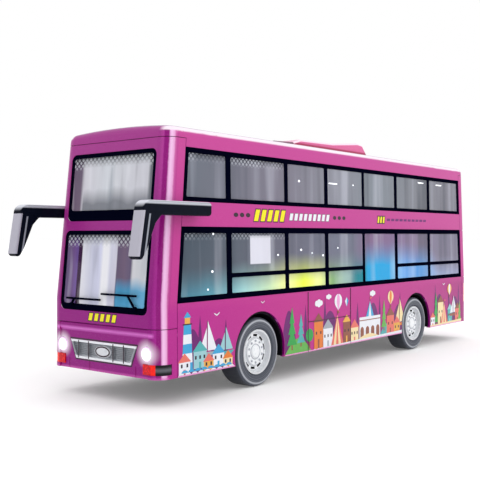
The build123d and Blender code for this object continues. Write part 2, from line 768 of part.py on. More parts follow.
def mirror_face_line():
    """The foot and the head of the mirror's front edge, in Y and Z."""
    tip_y = FRONT_Y - MIRROR_REACH
    arm_high = BELT_Z + MIRROR_ARM_RISE + MIRROR_ARM_HEIGHT
    foot = (tip_y, arm_high - MIRROR_ARM_HEIGHT - MIRROR_DROP + MIRROR_TIP)
    return foot, (tip_y + MIRROR_LEAN, arm_high - MIRROR_BEND_R)


def mirror_outline():
    """The mirror's face in Y and Z: arm, bend, front edge, curved tip and tapering back."""
    arm_low = BELT_Z + MIRROR_ARM_RISE
    arm_high = arm_low + MIRROR_ARM_HEIGHT
    foot, head = mirror_face_line()
    tip_z = arm_low - MIRROR_DROP
    rear_y = at(MIRROR_ARM_STATION)
    bend_end = (head[0] + MIRROR_BEND_R, arm_high)
    lines = [
        Polyline((rear_y, arm_low), (rear_y, arm_high), bend_end),
        TangentArc(bend_end, head, tangent=(-1, 0)),
        Polyline(head, foot, (foot[0] + MIRROR_TIP, tip_z), (foot[0] + MIRROR_TIP_BACK, tip_z + MIRROR_TIP_RISE),
                 (foot[0] + MIRROR_HEAD, arm_low - MIRROR_HEAD_DROP), (foot[0] + MIRROR_NECK, arm_low),
                 (rear_y, arm_low)),
    ]
    face = make_face(lines)
    return fillet([v for v in face.vertices() if v.Y > rear_y - FIT], MIRROR_END_R)


def mirror_face_region(depth):
    """The space ahead of a line parallel to the mirror's front edge, at a depth behind it."""
    foot, head = mirror_face_line()
    return yz_prism([(foot[0] - PAST, foot[1]), (foot[0] + depth, foot[1]),
                     (head[0] + depth, head[1]), (foot[0] - PAST, head[1])], -FAR_X, FAR_X)


def mirror_slab(sign):
    """The mirror's face extruded over its width, on the left (1) or the right (-1)."""
    x_low = min(sign * (HALF + MIRROR_GAP), sign * (HALF + MIRROR_GAP + MIRROR_W))
    slab = extrude(Plane.YZ.offset(x_low) * mirror_outline(), MIRROR_W)
    rims = [e for e in slab.edges() if abs(e.center().X - x_low - MIRROR_W / 2) > MIRROR_W / 2 - FIT]
    return fillet(rims, MIRROR_EDGE_R)


def mirror(side):
    """One mirror: arm, head and the peg that seats on the side wall."""
    sign = 1 if side == "left" else -1
    z = BELT_Z + MIRROR_ARM_RISE + MIRROR_ARM_HEIGHT / 2
    peg_x = (sign * (HALF - WALL), sign * (HALF + MIRROR_GAP + MIRROR_W / 2))
    peg = x_rod(MIRROR_PEG_R, peg_x, at(MIRROR_ARM_STATION) - 2 * MIRROR_PEG_R, z) - layer(0)
    return mirror_slab(sign) - mirror_face_region(MIRROR_FACE_T + FIT) + peg


def mirror_faces():
    """The pale faces on the front of both mirror heads."""
    return Compound(children=[mirror_slab(sign) & mirror_face_region(MIRROR_FACE_T) for sign in (-1, 1)])


def wipers():
    """The two wiper blades with their arms and feet."""
    blades = []
    frame_half, low, high = window_edges(NOSE_WINDOWS, "lower")
    foot_z = low + WIPER_FOOT_RISE
    half = WIPER_T / 2
    for wiper in WIPERS:
        side, z = wiper["side"], low + wiper["rise"]
        end, joint, foot = [side * (frame_half - wiper[key]) for key in ("end", "joint", "foot")]
        tip = side * WIPER_TIP_GAP
        y = nose_y(0, z) - half
        y_range = (y - WIPER_T, y)
        blade = block((tip, end), y_range, (z - half, z + half))
        blade += xz_prism([(joint - half, z), (foot - half, foot_z), (foot + half, foot_z), (joint + half, z)],
                          *y_range)
        blade += y_rod(WIPER_FOOT_R, (y - WIPER_T, nose_y(WALL, foot_z)), foot, foot_z) - layer(FRAME_INSET)
        blades.append(blade)
    return Compound(children=blades)


def bay_liner_form(name, sign, grow=0.0):
    """The outer form of one wheel bay, grown round its curve, from its inner wall outwards."""
    x_range = (sign * (BAY_INNER_X - LINER_T), sign * (HALF - WALL / 2))
    return x_rod(ARCH_R - LINER_GAP + grow, x_range, at(AXLE_STATIONS[name]), AXLE_Z)


def bay_liners(name):
    """The two half-round wheel bay liners of one axle, open below and outwards."""
    liners = []
    y = at(AXLE_STATIONS[name])
    inner_r = ARCH_R - LINER_GAP - LINER_T
    for sign in (-1, 1):
        open_x = (sign * BAY_INNER_X, sign * FAR_X)
        liner = bay_liner_form(name, sign) - x_rod(inner_r, open_x, y, AXLE_Z)
        liner -= block(open_x, (y - inner_r, y + inner_r), (BASE_Z, AXLE_Z))
        liner -= block((-FAR_X, FAR_X), (y - ARCH_R, y + ARCH_R), (AXLE_Z - ARCH_R - PAST, BASE_Z))
        liners.append(liner - x_rod(AXLE_R + AXLE_CLEARANCE, (-HALF, HALF), y, AXLE_Z))
    return Compound(children=liners)


def chassis_base():
    """The base plate with axle bearings, hatch recess, speaker holes and stand bosses."""
    plate = block((-HALF, HALF), (FRONT_Y, REAR_Y), (BASE_Z, BASE_TOP_Z))
    base = plate & layer(WALL + SIDE_GAP)
    base -= nose_region(SKIRT_Z - PAST, BUMPER_SEAM_Z) - layer(WALL + PANEL_RECESS + SIDE_GAP)
    for name in AXLE_STATIONS:
        for sign in (-1, 1):
            base -= bay_liner_form(name, sign, FIT)
    for name in DOORS:
        base -= hinge_bosses(name, SIDE_GAP)
        base -= hinge_sweep(name)
    for place in AXLE_STATIONS.values():
        y = at(place)
        for sign in (-1, 1):
            x_range = (sign * BEARING_INNER_X, sign * (BAY_INNER_X - LINER_T))
            base += block(x_range, (y - BEARING_HALF, y + BEARING_HALF), (BASE_Z, AXLE_Z + BEARING_HALF))
        base -= x_rod(AXLE_R + AXLE_CLEARANCE, (-HALF, HALF), y, AXLE_Z)
    for place in STAND_STATIONS:
        base += z_rod(STAND_BOSS_R, (BASE_Z, BASE_TOP_Z + STAND_HOLE_DEPTH), 0, at(place))
        base -= z_rod(STAND_HOLE_R, (BASE_Z - PAST, BASE_Z + STAND_HOLE_DEPTH), 0, at(place))
    base -= block((-HATCH_W / 2, HATCH_W / 2), (at(HATCH_STATION), at(HATCH_STATION) + HATCH_LENGTH),
                  (BASE_Z - PAST, BASE_Z + HATCH_T))
    for row in range(SPEAKER_ROWS):
        for column in range(SPEAKER_COLUMNS):
            x = (column - (SPEAKER_COLUMNS - 1) / 2) * SPEAKER_PITCH
            y = at(SPEAKER_STATION) + row * SPEAKER_PITCH
            base -= z_rod(SPEAKER_HOLE_R, (BASE_Z - PAST, BASE_TOP_Z + PAST), x, y)
    return base


def battery_hatch():
    """The battery hatch let into the base plate."""
    half = HATCH_W / 2 - FIT
    y = at(HATCH_STATION)
    return block((-half, half), (y + FIT, y + HATCH_LENGTH - FIT), (BASE_Z, BASE_Z + HATCH_T))


def motor_housing():
    """The closed drive housing over the rear axle."""
    y = at(AXLE_STATIONS["rear"])
    half = BEARING_INNER_X - MOTOR_GAP
    housing = block((-half, half), (y - ARCH_R, y + ARCH_R / 2), (BASE_TOP_Z, LOWER_FLOOR_Z - SIDE_GAP))
    return housing - x_rod(AXLE_R + SIDE_GAP, (-HALF, HALF), y, AXLE_Z)


def floor_plate(z, front_station, rear_station):
    """A deck floor between the side walls."""
    half = wall_x(z + FLOOR_T) - WALL - SIDE_GAP
    return block((-half, half), (at(front_station), at(rear_station)), (z, z + FLOOR_T))


def seat(x_range, y, z, depth, rise, back_height):
    """A seat: a cushion and a slanting backrest behind it."""
    back_y = y + depth - SEAT_BACK_T
    cushion = block(x_range, (y, y + depth), (z, z + rise))
    lean = SEAT_BACK_LEAN
    back = [(back_y, z), (back_y + lean, z + back_height), (back_y + lean + SEAT_BACK_T, z + back_height),
            (back_y + SEAT_BACK_T + lean, z)]
    return cushion + yz_prism(back, *sorted(x_range))


def seat_rows(deck, z, first_station, end_gap, doorway=None):
    """Rows of double seats on both sides of the aisle, left out on the right across a doorway."""
    x_range = (AISLE_W / 2, HALF - WALL - SEAT_SIDE_GAP)
    rows = int((BODY_LENGTH - end_gap - first_station) / SEAT_PITCH)
    for row in range(rows):
        y = at(first_station + row * SEAT_PITCH)
        deck += seat(x_range, y, z + FLOOR_T, SEAT_DEPTH, SEAT_RISE, SEAT_BACK_HEIGHT)
        if doorway and doorway[0] < y + SEAT_PITCH and y < doorway[1]:
            continue
        right = (-x_range[1], -x_range[0])
        deck += seat(right, y, z + FLOOR_T, SEAT_DEPTH, SEAT_RISE, SEAT_BACK_HEIGHT)
    return deck


def stepwell(name):
    """The steps behind a door, from the base plate up to the lower floor."""
    y_range = door_span(name)
    outer_x = HINGE_X + HINGE_R + SIDE_GAP
    low, high = BASE_TOP_Z, LOWER_FLOOR_Z + FLOOR_T
    steps = block((STEP_X, STEP_X + FLOOR_T), y_range, (low, high))
    for step in range(STEP_COUNT):
        edge = outer_x + (STEP_X - outer_x) * step / STEP_COUNT
        top = low + (high - low) * step / (STEP_COUNT + 1) + FLOOR_T
        steps += block((edge, STEP_X + FLOOR_T), y_range, (low, top))
    return steps


def lower_deck():
    """The lower floor with its steps and seats."""
    z = LOWER_FLOOR_Z
    deck = floor_plate(z, NOSE_LENGTH + WALL, TAIL_STATION - WALL)
    for name in DOORS:
        deck -= block((-FAR_X, STEP_X), door_span(name), (z - PAST, z + PAST))
        deck += stepwell(name)
        deck -= hinge_sweep(name)
    return seat_rows(deck, z, LOWER_ROWS_STATION, LOWER_ROWS_GAP, door_span("middle"))


def upper_deck():
    """The upper floor with its seats."""
    deck = floor_plate(UPPER_FLOOR_Z, NOSE_LENGTH + 2 * WALL, TAIL_STATION - 2 * WALL)
    return seat_rows(deck, UPPER_FLOOR_Z, UPPER_ROWS_STATION, UPPER_ROWS_GAP)


def steering_place():
    """The centre and slant of the steering wheel."""
    y = at(DASH_STATION + DASH_DEPTH + STEERING_BACK)
    return Pos(CAB_X, y, LOWER_FLOOR_Z + FLOOR_T + STEERING_RISE) * Rot(STEERING_TILT_DEG, 0, 0)


def steering_column(radius):
    """The slanting steering column, or with a larger radius its socket in the dashboard."""
    return steering_place() * Pos(0, 0, -COLUMN_L / 2) * Cylinder(radius, COLUMN_L)


def dashboard():
    """The dashboard behind the lower windscreen, with the steering column's socket."""
    z = LOWER_FLOOR_Z + FLOOR_T
    front, rear, low_rear = [at(DASH_STATION + d) for d in (0, DASH_DEPTH, DASH_LOW_DEPTH)]
    shelf = (front + low_rear) / 2
    side = HALF - CAB_SIDE_GAP
    edge = [(front, z), (front, z + DASH_EDGE_HEIGHT), (shelf, z + DASH_LOW_HEIGHT)]
    binnacle = [(low_rear, z + DASH_HEIGHT), (rear, z + DASH_HEIGHT), (rear, z)]
    shelf_end = [(low_rear, z + DASH_LOW_HEIGHT), (low_rear, z)]
    board = yz_prism(edge + binnacle, CAB_INNER_X, side) + yz_prism(edge + shelf_end, -side, CAB_INNER_X)
    return board - steering_column(COLUMN_R + FIT)


def steering_wheel():
    """The steering wheel on its column."""
    spokes = steering_place() * Box(2 * STEERING_R, STEERING_SPOKE_W, STEERING_RIM_R)
    return steering_place() * Torus(STEERING_R, STEERING_RIM_R) + steering_column(COLUMN_R) + spokes


def driver_seat():
    """The driver's seat."""
    y = at(DASH_STATION + DASH_DEPTH + DRIVER_SEAT_GAP)
    x_range = (CAB_X - DRIVER_SEAT_W / 2, CAB_X + DRIVER_SEAT_W / 2)
    return seat(x_range, y, LOWER_FLOOR_Z + FLOOR_T, DRIVER_SEAT_DEPTH, DRIVER_SEAT_RISE, DRIVER_BACK_HEIGHT)


def axle(name):
    """A wheel axle."""
    return x_rod(AXLE_R, (-AXLE_END_X, AXLE_END_X), at(AXLE_STATIONS[name]), AXLE_Z)


def placed(shape, name, side):
    """A left wheel piece about the origin, set at its axle and turned round for the right side."""
    turn = Rot(0, 0, 0) if side == "left" else Rot(0, 0, 180)
    return Pos(0, at(AXLE_STATIONS[name]), AXLE_Z) * turn * shape


def tyre():
    """A left tyre about the origin, with rounded shoulders."""
    inner, outer = TYRE_OUTER_X - TYRE_W, TYRE_OUTER_X
    face = make_face(Polyline((inner, RIM_R), (inner, TYRE_R), (outer, TYRE_R), (outer, RIM_R + RIM_LIP),
                              (outer - RIM_LIP, RIM_R), close=True))
    shoulders = [v for v in face.vertices() if v.Y > TYRE_R - FIT]
    return revolve(fillet(shoulders, TYRE_SHOULDER_R), Axis.X)


def wheel():
    """A left wheel about the origin: rim, dished disc with a ring of slots, and hub."""
    inner, outer = TYRE_OUTER_X - TYRE_W, TYRE_OUTER_X
    rim = RIM_R - FIT
    face = outer - DISC_RECESS
    dish = face - DISH_DEPTH
    slot_r = DISC_R + SLOT_W / 4
    profile = [
        (inner - HUB_STUB, 0.0), (inner - HUB_STUB, HUB_R), (inner + RIM_LIP, HUB_R), (inner + RIM_LIP, rim),
        (outer - RIM_LIP / 2, rim), (outer - RIM_LIP / 2, rim - RIM_LIP),
        (dish, slot_r + SLOT_W + DISH_DEPTH), (dish, slot_r),
        (face, DISC_R - DISH_DEPTH / 2), (face, HUB_R + HUB_PROUD), (face + HUB_PROUD, HUB_R),
        (face + HUB_PROUD, 0.0),
    ]
    body = revolve(make_face(Polyline(*profile, close=True)), Axis.X)
    slot = make_face(Polyline((dish - SLOT_DEPTH, slot_r), (outer, slot_r), (outer, slot_r + SLOT_W),
                              (dish - SLOT_DEPTH, slot_r + SLOT_W), close=True))
    cutter = revolve(slot, Axis.X, SLOT_ARC_DEG)
    for turn in range(SLOT_COUNT):
        body -= Rot(turn * 360 / SLOT_COUNT, 0, 0) * cutter
    return body - x_rod(AXLE_R + PRESS_GAP, (0, AXLE_END_X + FIT), 0, 0)


def door_pane_regions(name, grow):
    """The spaces of a door's panes, one tall pane for each fold of the door."""
    start, end = door_span(name)
    leaves = DOORS[name]["leaves"]
    width = (end - start) / leaves
    low, high = DOOR_LOW_Z + DOOR_PANE_RISE - grow, DOOR_HIGH_Z - DOOR_FRAME + grow
    regions = []
    for leaf in range(leaves):
        front = start + leaf * width + DOOR_FRAME - grow
        rear = start + (leaf + 1) * width - DOOR_FRAME + grow
        regions.append(yz_prism([(front, low), (front, high), (rear, high), (rear, low)],
                                -FAR_X, -HALF / 2, PANE_R + grow))
    return regions


def door_leaf(name):
    """A door with its panes cut, a rounded hinge edge and two hinge pins."""
    y = hinge_y(name)
    leaf = skin(0, WALL, door_region(name))
    rest = block((-FAR_X, 0), (y, REAR_Y), (0, ROOF_SEAM_Z))
    leaf = (leaf & rest) + (leaf & z_rod(HINGE_R, (DOOR_LOW_Z, DOOR_HIGH_Z), HINGE_X, y))
    for region in door_pane_regions(name, 0.0):
        leaf -= region
    if DOORS[name]["leaves"] > 1:
        middle = sum(door_span(name)) / 2
        groove = block((-FAR_X, 0), (middle - GROOVE_W / 2, middle + GROOVE_W / 2), (0, ROOF_SEAM_Z))
        leaf -= groove - layer(GROOVE_DEPTH)
    pin = DOOR_GAP + HINGE_PIN_L - PIN_END_GAP
    leaf += z_rod(HINGE_PIN_R, (DOOR_LOW_Z - pin, DOOR_LOW_Z + HINGE_PIN_L), HINGE_X, y)
    leaf += z_rod(HINGE_PIN_R, (DOOR_HIGH_Z - HINGE_PIN_L, DOOR_HIGH_Z + pin), HINGE_X, y)
    return leaf


def door_glass(name):
    """The glass of a door."""
    return Compound(children=[skin(GROOVE_DEPTH, GLASS_DEPTH, region) for region in door_pane_regions(name, -FIT)])


PIECES = {
    "body_side_left": body_side("left"),
    "body_side_right": body_side("right"),
    "roof_panel": roof(),
    "roof_pod": roof_pod(),
    "front_mask": front_mask(),
    "front_bumper": front_bumper(),
    "rear_mask": rear_mask(),
    "grille": grille(),
    "grille_oval": grille_oval(),
    "headlamps": headlamps(),
    "corner_lamps_red": corner_lamps("red"),
    "corner_lamps_smoke": corner_lamps("smoke"),
    "tail_lamps": tail_lamps("red"),
    "tail_indicators": tail_lamps("amber"),
    "rear_window_frames": rear_window_frames(),
    "rear_windows": rear_windows(),
    "mirror_left": mirror("left"),
    "mirror_right": mirror("right"),
    "mirror_faces": mirror_faces(),
    "wipers": wipers(),
    "chassis_base": chassis_base(),
    "battery_hatch": battery_hatch(),
    "motor_housing": motor_housing(),
    "lower_deck_seats": lower_deck(),
    "upper_deck_seats": upper_deck(),
    "dashboard": dashboard(),
    "steering_wheel": steering_wheel(),
    "driver_seat": driver_seat(),
}
for deck in BANDS:
    PIECES[f"windscreen_frame_{deck}"] = windscreen_frame(deck)
    PIECES[f"windscreen_{deck}"] = windscreen(deck)
    for side in ("left", "right"):
        PIECES[f"window_frame_{deck}_{side}"] = window_frame(deck, side)
        PIECES[f"window_glass_{deck}_{side}"] = window_glass(deck, side)
TYRE = tyre()
WHEEL = wheel()
for name in AXLE_STATIONS:
    PIECES[f"bay_liners_{name}"] = bay_liners(name)
    PIECES[f"axle_{name}"] = axle(name)
    for side in ("left", "right"):
        PIECES[f"tyre_{name}_{side}"] = placed(TYRE, name, side)
        PIECES[f"wheel_{name}_{side}"] = placed(WHEEL, name, side)
for name in DOORS:
    PIECES[f"door_{name}"] = door_leaf(name)
    PIECES[f"door_{name}_glass"] = door_glass(name)

for node, shape in PIECES.items():
    export_step(shape, f"parts/{node}.step")
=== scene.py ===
"""Looks for the toy double-decker bus: camera, light, paint, glass, printed sides and small trim.

Coordinates are metres in the frame of the solids: +X to the bus's own left, +Y to its rear, +Z up.
"""
import math

import bpy
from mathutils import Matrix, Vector


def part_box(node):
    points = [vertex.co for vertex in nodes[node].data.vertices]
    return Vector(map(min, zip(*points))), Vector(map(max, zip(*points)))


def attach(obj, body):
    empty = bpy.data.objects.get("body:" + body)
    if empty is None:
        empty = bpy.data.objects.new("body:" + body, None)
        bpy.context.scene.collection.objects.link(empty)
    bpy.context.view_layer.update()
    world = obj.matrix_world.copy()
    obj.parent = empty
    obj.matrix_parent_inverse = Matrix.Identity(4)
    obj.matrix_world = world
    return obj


MM = 0.001
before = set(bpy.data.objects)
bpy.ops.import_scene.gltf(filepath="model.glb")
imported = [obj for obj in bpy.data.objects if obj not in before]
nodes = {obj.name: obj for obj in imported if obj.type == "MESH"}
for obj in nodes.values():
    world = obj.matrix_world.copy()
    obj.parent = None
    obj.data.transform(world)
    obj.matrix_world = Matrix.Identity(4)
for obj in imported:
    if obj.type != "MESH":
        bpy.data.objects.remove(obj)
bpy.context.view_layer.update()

# Places read from the solids
side_low, side_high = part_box("body_side_left")
nose_low, nose_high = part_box("front_bumper")
FRONT_Y = nose_low.y
REAR_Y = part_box("rear_mask")[1].y
SIDE_X = side_high.x
SKIRT_Z = side_low.z
SILL_Z, BELT_Z = (corner.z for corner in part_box("window_frame_lower_left"))
BELT_TOP_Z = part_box("window_frame_upper_left")[0].z
ROOF_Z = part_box("roof_panel")[1].z
LIP_Z = nose_high.z - 2.4 * MM
BUMPER_FOOT = nose_low.z
AXLES = {name: sum(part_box(f"axle_{name}"), Vector()) / 2 for name in ("front", "rear")}
TYRE_R = AXLES["front"].z
TYRE_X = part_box("tyre_front_left")[1].x


def rgb(red, green, blue):
    """A colour written as the values seen on a screen, made linear for a shader."""
    def linear(value):
        share = value / 255
        return share / 12.92 if share <= 0.04045 else ((share + 0.055) / 1.055) ** 2.4
    return (linear(red), linear(green), linear(blue), 1.0)


def at(station):
    """The Y of a station, a distance in millimetres behind the flat of the nose."""
    return FRONT_Y + station * MM


# Shader helpers


class Value:
    """An output of a shader node, for sums, products and comparisons in plain Python."""

    def __init__(self, socket):
        self.socket = socket
        self.tree = socket.id_data

    def maths(self, operation, *others):
        return out(self.tree, "Math", dict(enumerate((self, *others))), operation=operation)

    def __rsub__(self, other):
        return out(self.tree, "Math", {0: other, 1: self}, operation="SUBTRACT")

    def stretch(self, low, high, to_low=0.0, to_high=1.0):
        """The value taken from one range to another and kept inside it."""
        return out(self.tree, "MapRange", {"Value": self, "From Min": low, "From Max": high,
                                           "To Min": to_low, "To Max": to_high})

    def between(self, low, high, blur):
        """One inside a range and nought outside it, with blurred ends."""
        return self.stretch(low - blur, low + blur) * self.stretch(high + blur, high - blur)

    def ramp(self, stops):
        """A ramp through stops: a place, then a screen colour's three values or one plain grey."""
        made = add(self.tree, "ValToRGB", {0: self})
        elements = made.color_ramp.elements
        while len(elements) < len(stops):
            elements.new(0.5)
        for element, (place, *tone) in zip(elements, stops):
            element.position = place
            element.color = rgb(*tone) if len(tone) == 3 else (*tone * 3, 1.0)
        return Value(made.outputs[0])


# Signs and names of a Value's own sums
SUMS = {"__add__": "ADD", "__sub__": "SUBTRACT", "__mul__": "MULTIPLY", "__truediv__": "DIVIDE",
        "__pow__": "POWER", "__lt__": "LESS_THAN", "__gt__": "GREATER_THAN", "__abs__": "ABSOLUTE",
        "sine": "SINE", "root": "SQRT", "angle": "ARCTAN2", "larger": "MAXIMUM", "smaller": "MINIMUM"}
for method, sum_kind in SUMS.items():
    setattr(Value, method, lambda self, *others, kind=sum_kind: self.maths(kind, *others))


def put(socket, value):
    """Links an output into a socket, or sets a plain value there."""
    if isinstance(value, Value):
        socket.id_data.links.new(value.socket, socket)
    else:
        socket.default_value = value


def add(tree, kind, values=None, **settings):
    """Adds a shader node, with its settings made first and its inputs linked or set."""
    made = tree.nodes.new("ShaderNode" + kind)
    for key, value in settings.items():
        setattr(made, key, value)
    for key, value in (values or {}).items():
        put(made.inputs[key], value)
    return made


def out(tree, kind, values=None, output=0, **settings):
    """One output of an added shader node."""
    return Value(add(tree, kind, values, **settings).outputs[output])


def split(tree, kind):
    """The separate X, Y and Z of a texture coordinate: Object, Normal or Generated."""
    place = out(tree, "TexCoord", output=kind)
    return [Value(part) for part in add(tree, "SeparateXYZ", {0: place}).outputs]


def reach(first, second):
    """The length of two sides at right angles."""
    return (first * first + second * second).root()


class Look:
    """A material with one Principled shader, whose colour is laid on layer over layer."""

    def __init__(self, name, **values):
        self.material = bpy.data.materials.new(name)
        self.material.use_nodes = True
        self.tree = self.material.node_tree
        self.set(**values)

    def set(self, **values):
        """Sets or links the shader's inputs, named with underscores for spaces."""
        for key, value in values.items():
            put(self.tree.nodes["Principled BSDF"].inputs[key.replace("_", " ")], value)

    def split(self, kind):
        return split(self.tree, kind)

    def noise(self, scale, detail=2.0, stretch_by=(1, 1, 1)):
        """A noise value over the part's frame, in turns per metre."""
        place = out(self.tree, "TexCoord", output="Object")
        mapped = out(self.tree, "Mapping", {"Vector": place, "Scale": stretch_by})
        return out(self.tree, "TexNoise", {"Vector": mapped, "Scale": scale, "Detail": detail})

    def blend(self, share, first, second):
        """Two colours mixed by a share."""
        return out(self.tree, "Mix", {0: share, 6: first, 7: second}, output=2, data_type="RGBA")

    def over(self, share, colour):
        """Lays a colour over what is there, by a share."""
        self.colour = self.blend(share, self.colour, colour)

    def bump(self, height, strength, distance):
        values = {"Height": height, "Strength": strength, "Distance": distance}
        self.set(Normal=out(self.tree, "Bump", values))

    def glow(self, strength):
        """Gives the surface some light of its own, in its own colour."""
        self.set(Emission_Color=self.colour, Emission_Strength=strength)

    def finish(self):
        self.set(Base_Color=self.colour)
        return self.material


def paint(name, first, second, roughness=0.3, metallic=0.0, grain=900.0, coat=0.0, specular=0.5,
          bumpiness=0.05):
    """A finish whose colour and gloss vary a little in fine grain between two close colours."""
    look = Look(name, Roughness=roughness, Metallic=metallic, Coat_Weight=coat, Specular_IOR_Level=specular,
                Coat_Roughness=0.05)
    fine = look.noise(grain)
    look.colour = look.blend(fine * 0.5 + look.noise(grain / 20) * 0.5, first, second)
    look.set(Roughness=fine.stretch(0.3, 0.7, roughness * 0.85, min(roughness * 1.15, 1.0)))
    if bumpiness:
        look.bump(fine, bumpiness, 0.05 * MM)
    return look.finish()


def lamp_reach(x, z, inset, drop=0.0):
    """The distance from the middle of the nearer headlamp, seen from ahead."""
    low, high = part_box("headlamps")
    return reach(abs(x) - (high.x - inset), z - ((low.z + high.z) / 2 - drop))


# Body paint by the way it faces, from the nose over the side to the tail, with a painted dark reflection and
# a painted highlight down each front corner
BODY_PLAN = [
    (0.00, 146, 0, 126), (0.06, 142, 0, 124), (0.11, 160, 24, 138), (0.155, 168, 34, 144),
    (0.175, 144, 0, 120), (0.258, 144, 0, 118), (0.286, 240, 176, 228), (0.320, 250, 204, 242),
    (0.380, 240, 174, 222), (0.42, 196, 84, 156), (0.465, 180, 48, 136), (0.50, 194, 50, 142),
    (0.56, 184, 44, 136), (0.78, 166, 30, 128), (1.00, 150, 20, 126),
]
# Paint of the lower sides from nose to tail, deeper than the sides above as painted shade low down
SIDE_PLAN = [
    (0.00, 182, 34, 140), (0.30, 194, 44, 140), (0.62, 192, 40, 138), (0.84, 182, 34, 132),
    (1.00, 164, 22, 120),
]
NOSE_DEPTH = 8 * MM
# Painted glow of the lit headlamps on the nose: its outer and inner radius
HALO = (5.0 * MM, 2.0 * MM)


def body_paint():
    """Magenta paint, deep on the nose, with painted light and shade: a dark reflection and a highlight down
    each corner, highlights along the roof's edge, the nose's lip and the bumper's foot, the headlamps' glow,
    paler towards the roof and deeper low on the sides.
    """
    look = Look("body_magenta_paint", Metallic=0.1, Coat_Weight=0.15, Coat_IOR=1.3, Coat_Roughness=0.05,
                Specular_IOR_Level=0.2)
    out_x, out_y, out_z = look.split("Normal")
    x, y, z = look.split("Object")
    sideways = abs(out_x)
    heading = sideways.angle(out_y * -1.0)
    share = heading / math.pi
    # The painted corner highlight and dark reflection move a little with height
    lean = z.stretch(20 * MM, 50 * MM, 0.025, 0.003) * share.stretch(0.497, 0.46)
    look.colour = (share - lean).ramp(BODY_PLAN)
    # Painted shade: the lower side walls take the deeper colours
    low = z.stretch(SILL_Z + 1 * MM, SILL_Z - 3 * MM) * sideways.stretch(0.97, 0.995)
    look.over(low, y.stretch(FRONT_Y, REAR_Y).ramp(SIDE_PLAN))
    # Painted light: paler towards the roof, kept off the corners
    off_corner = 1.0 - share.between(0.16, 0.40, 0.02)
    look.over(z.stretch(SILL_Z, ROOF_Z - 8 * MM) * off_corner * 0.18, rgb(226, 120, 184))
    # Painted highlight along the rounded edge of the roof
    look.over(out_z.stretch(0.28, 0.5) * sideways.stretch(0.1, 0.4), rgb(255, 240, 252))
    look.over(out_z.stretch(0.82, 0.88) * out_z.stretch(0.99, 0.975) * 0.8, rgb(170, 150, 176))
    look.over(out_z.stretch(0.985, 0.996) * 0.6, rgb(200, 74, 160))
    # Painted highlight along the nose's lip
    lip_highlight = z.stretch(LIP_Z - 0.3 * MM, LIP_Z + 0.5 * MM) * z.stretch(LIP_Z + 1.5 * MM, LIP_Z + 0.7 * MM)
    look.over(lip_highlight * heading.stretch(0.5, 0.3) * 0.85, rgb(232, 120, 220))
    # Painted highlight along the foot of the bumper
    foot = z.stretch(BUMPER_FOOT + 0.9 * MM, BUMPER_FOOT + 0.4 * MM) * share.stretch(0.5, 0.45)
    look.over(foot * 0.6, rgb(214, 96, 184))
    # Painted glow of the headlamps round each lamp on the nose
    halo = lamp_reach(x, z, 2.2 * MM).stretch(*HALO) ** 1.6
    look.over(halo * (y < FRONT_Y + NOSE_DEPTH), rgb(255, 244, 255))
    flakes = look.noise(5200.0, 1.0)
    look.over(look.noise(26.0) * 0.10, rgb(120, 10, 110))
    look.over(flakes.stretch(0.62, 0.72, 0.0, 0.14), rgb(236, 150, 214))
    look.set(Roughness=flakes.stretch(0.3, 0.7, 0.28, 0.36))
    look.bump(look.noise(700.0), 0.03, 0.03 * MM)
    return look.finish()


POD_VENT_END = 84.0
POD_TAIL_START = 137.0


def pod_paint():
    """The roof housing: dark vent ahead, pink sides over a painted shadow line at the foot, painted
    highlights on the rounded top edges, a pink top and a dark tail.
    """
    look = Look("pod_paint", Coat_Weight=0.3, Specular_IOR_Level=0.3)
    out_z = look.split("Normal")[2]
    y, z = look.split("Object")[1:]
    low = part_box("roof_pod")[0].z
    fine = look.noise(1200.0)
    look.colour = look.blend(fine, rgb(226, 96, 160), rgb(238, 120, 176))
    # Painted shadow along the foot, where the housing meets the roof
    look.over(z.stretch(low + 2.0 * MM, low + 1.5 * MM), rgb(176, 24, 84))
    # Painted highlight on the rounded top edges
    look.over(out_z.between(0.25, 0.93, 0.05), rgb(255, 224, 240))
    look.over(out_z.stretch(0.95, 0.99), rgb(222, 112, 184))
    look.over(y.stretch(at(POD_VENT_END + 0.5), at(POD_VENT_END)), rgb(110, 34, 78))
    look.over(y.stretch(at(POD_TAIL_START), at(POD_TAIL_START + 2)) * 0.7, rgb(150, 60, 104))
    look.set(Roughness=fine.stretch(0.3, 0.7, 0.28, 0.38))
    return look.finish()


# Window sheets from nose to tail: the light behind the lower deck, how high it rises, and the smoke
GLOW = [
    (0.00, 62, 130, 156), (0.11, 92, 166, 184), (0.165, 168, 216, 214), (0.23, 196, 222, 182),
    (0.275, 240, 246, 160), (0.33, 234, 250, 70), (0.385, 236, 246, 140), (0.42, 124, 170, 92),
    (0.47, 88, 150, 142), (0.50, 70, 136, 146), (0.52, 0, 128, 140), (0.545, 0, 132, 150),
    (0.56, 0, 160, 214), (0.66, 0, 158, 216), (0.72, 24, 142, 224), (0.80, 88, 152, 212),
    (0.88, 150, 168, 204), (1.00, 150, 156, 190),
]
GLOW_RISE = [
    (0.00, 0.12), (0.16, 0.22), (0.30, 0.30), (0.42, 0.24), (0.53, 0.36), (0.56, 0.52), (0.66, 0.50),
    (0.70, 0.44), (0.84, 0.40), (0.88, 0.20), (1.00, 0.20),
]
UPPER_TINTS = [
    (0.00, 114, 122, 134), (0.25, 134, 130, 146), (0.45, 148, 150, 162), (0.60, 140, 148, 158),
    (0.80, 138, 140, 150), (1.00, 138, 136, 150),
]
LOWER_TINTS = [
    (0.00, 78, 92, 106), (0.14, 96, 104, 118), (0.25, 112, 112, 128), (0.50, 124, 128, 148),
    (0.56, 140, 112, 150), (0.66, 140, 116, 156), (0.78, 150, 134, 164), (0.88, 136, 130, 154),
    (1.00, 128, 124, 146),
]
SHEETS_RUN = (8.0, 212.0)
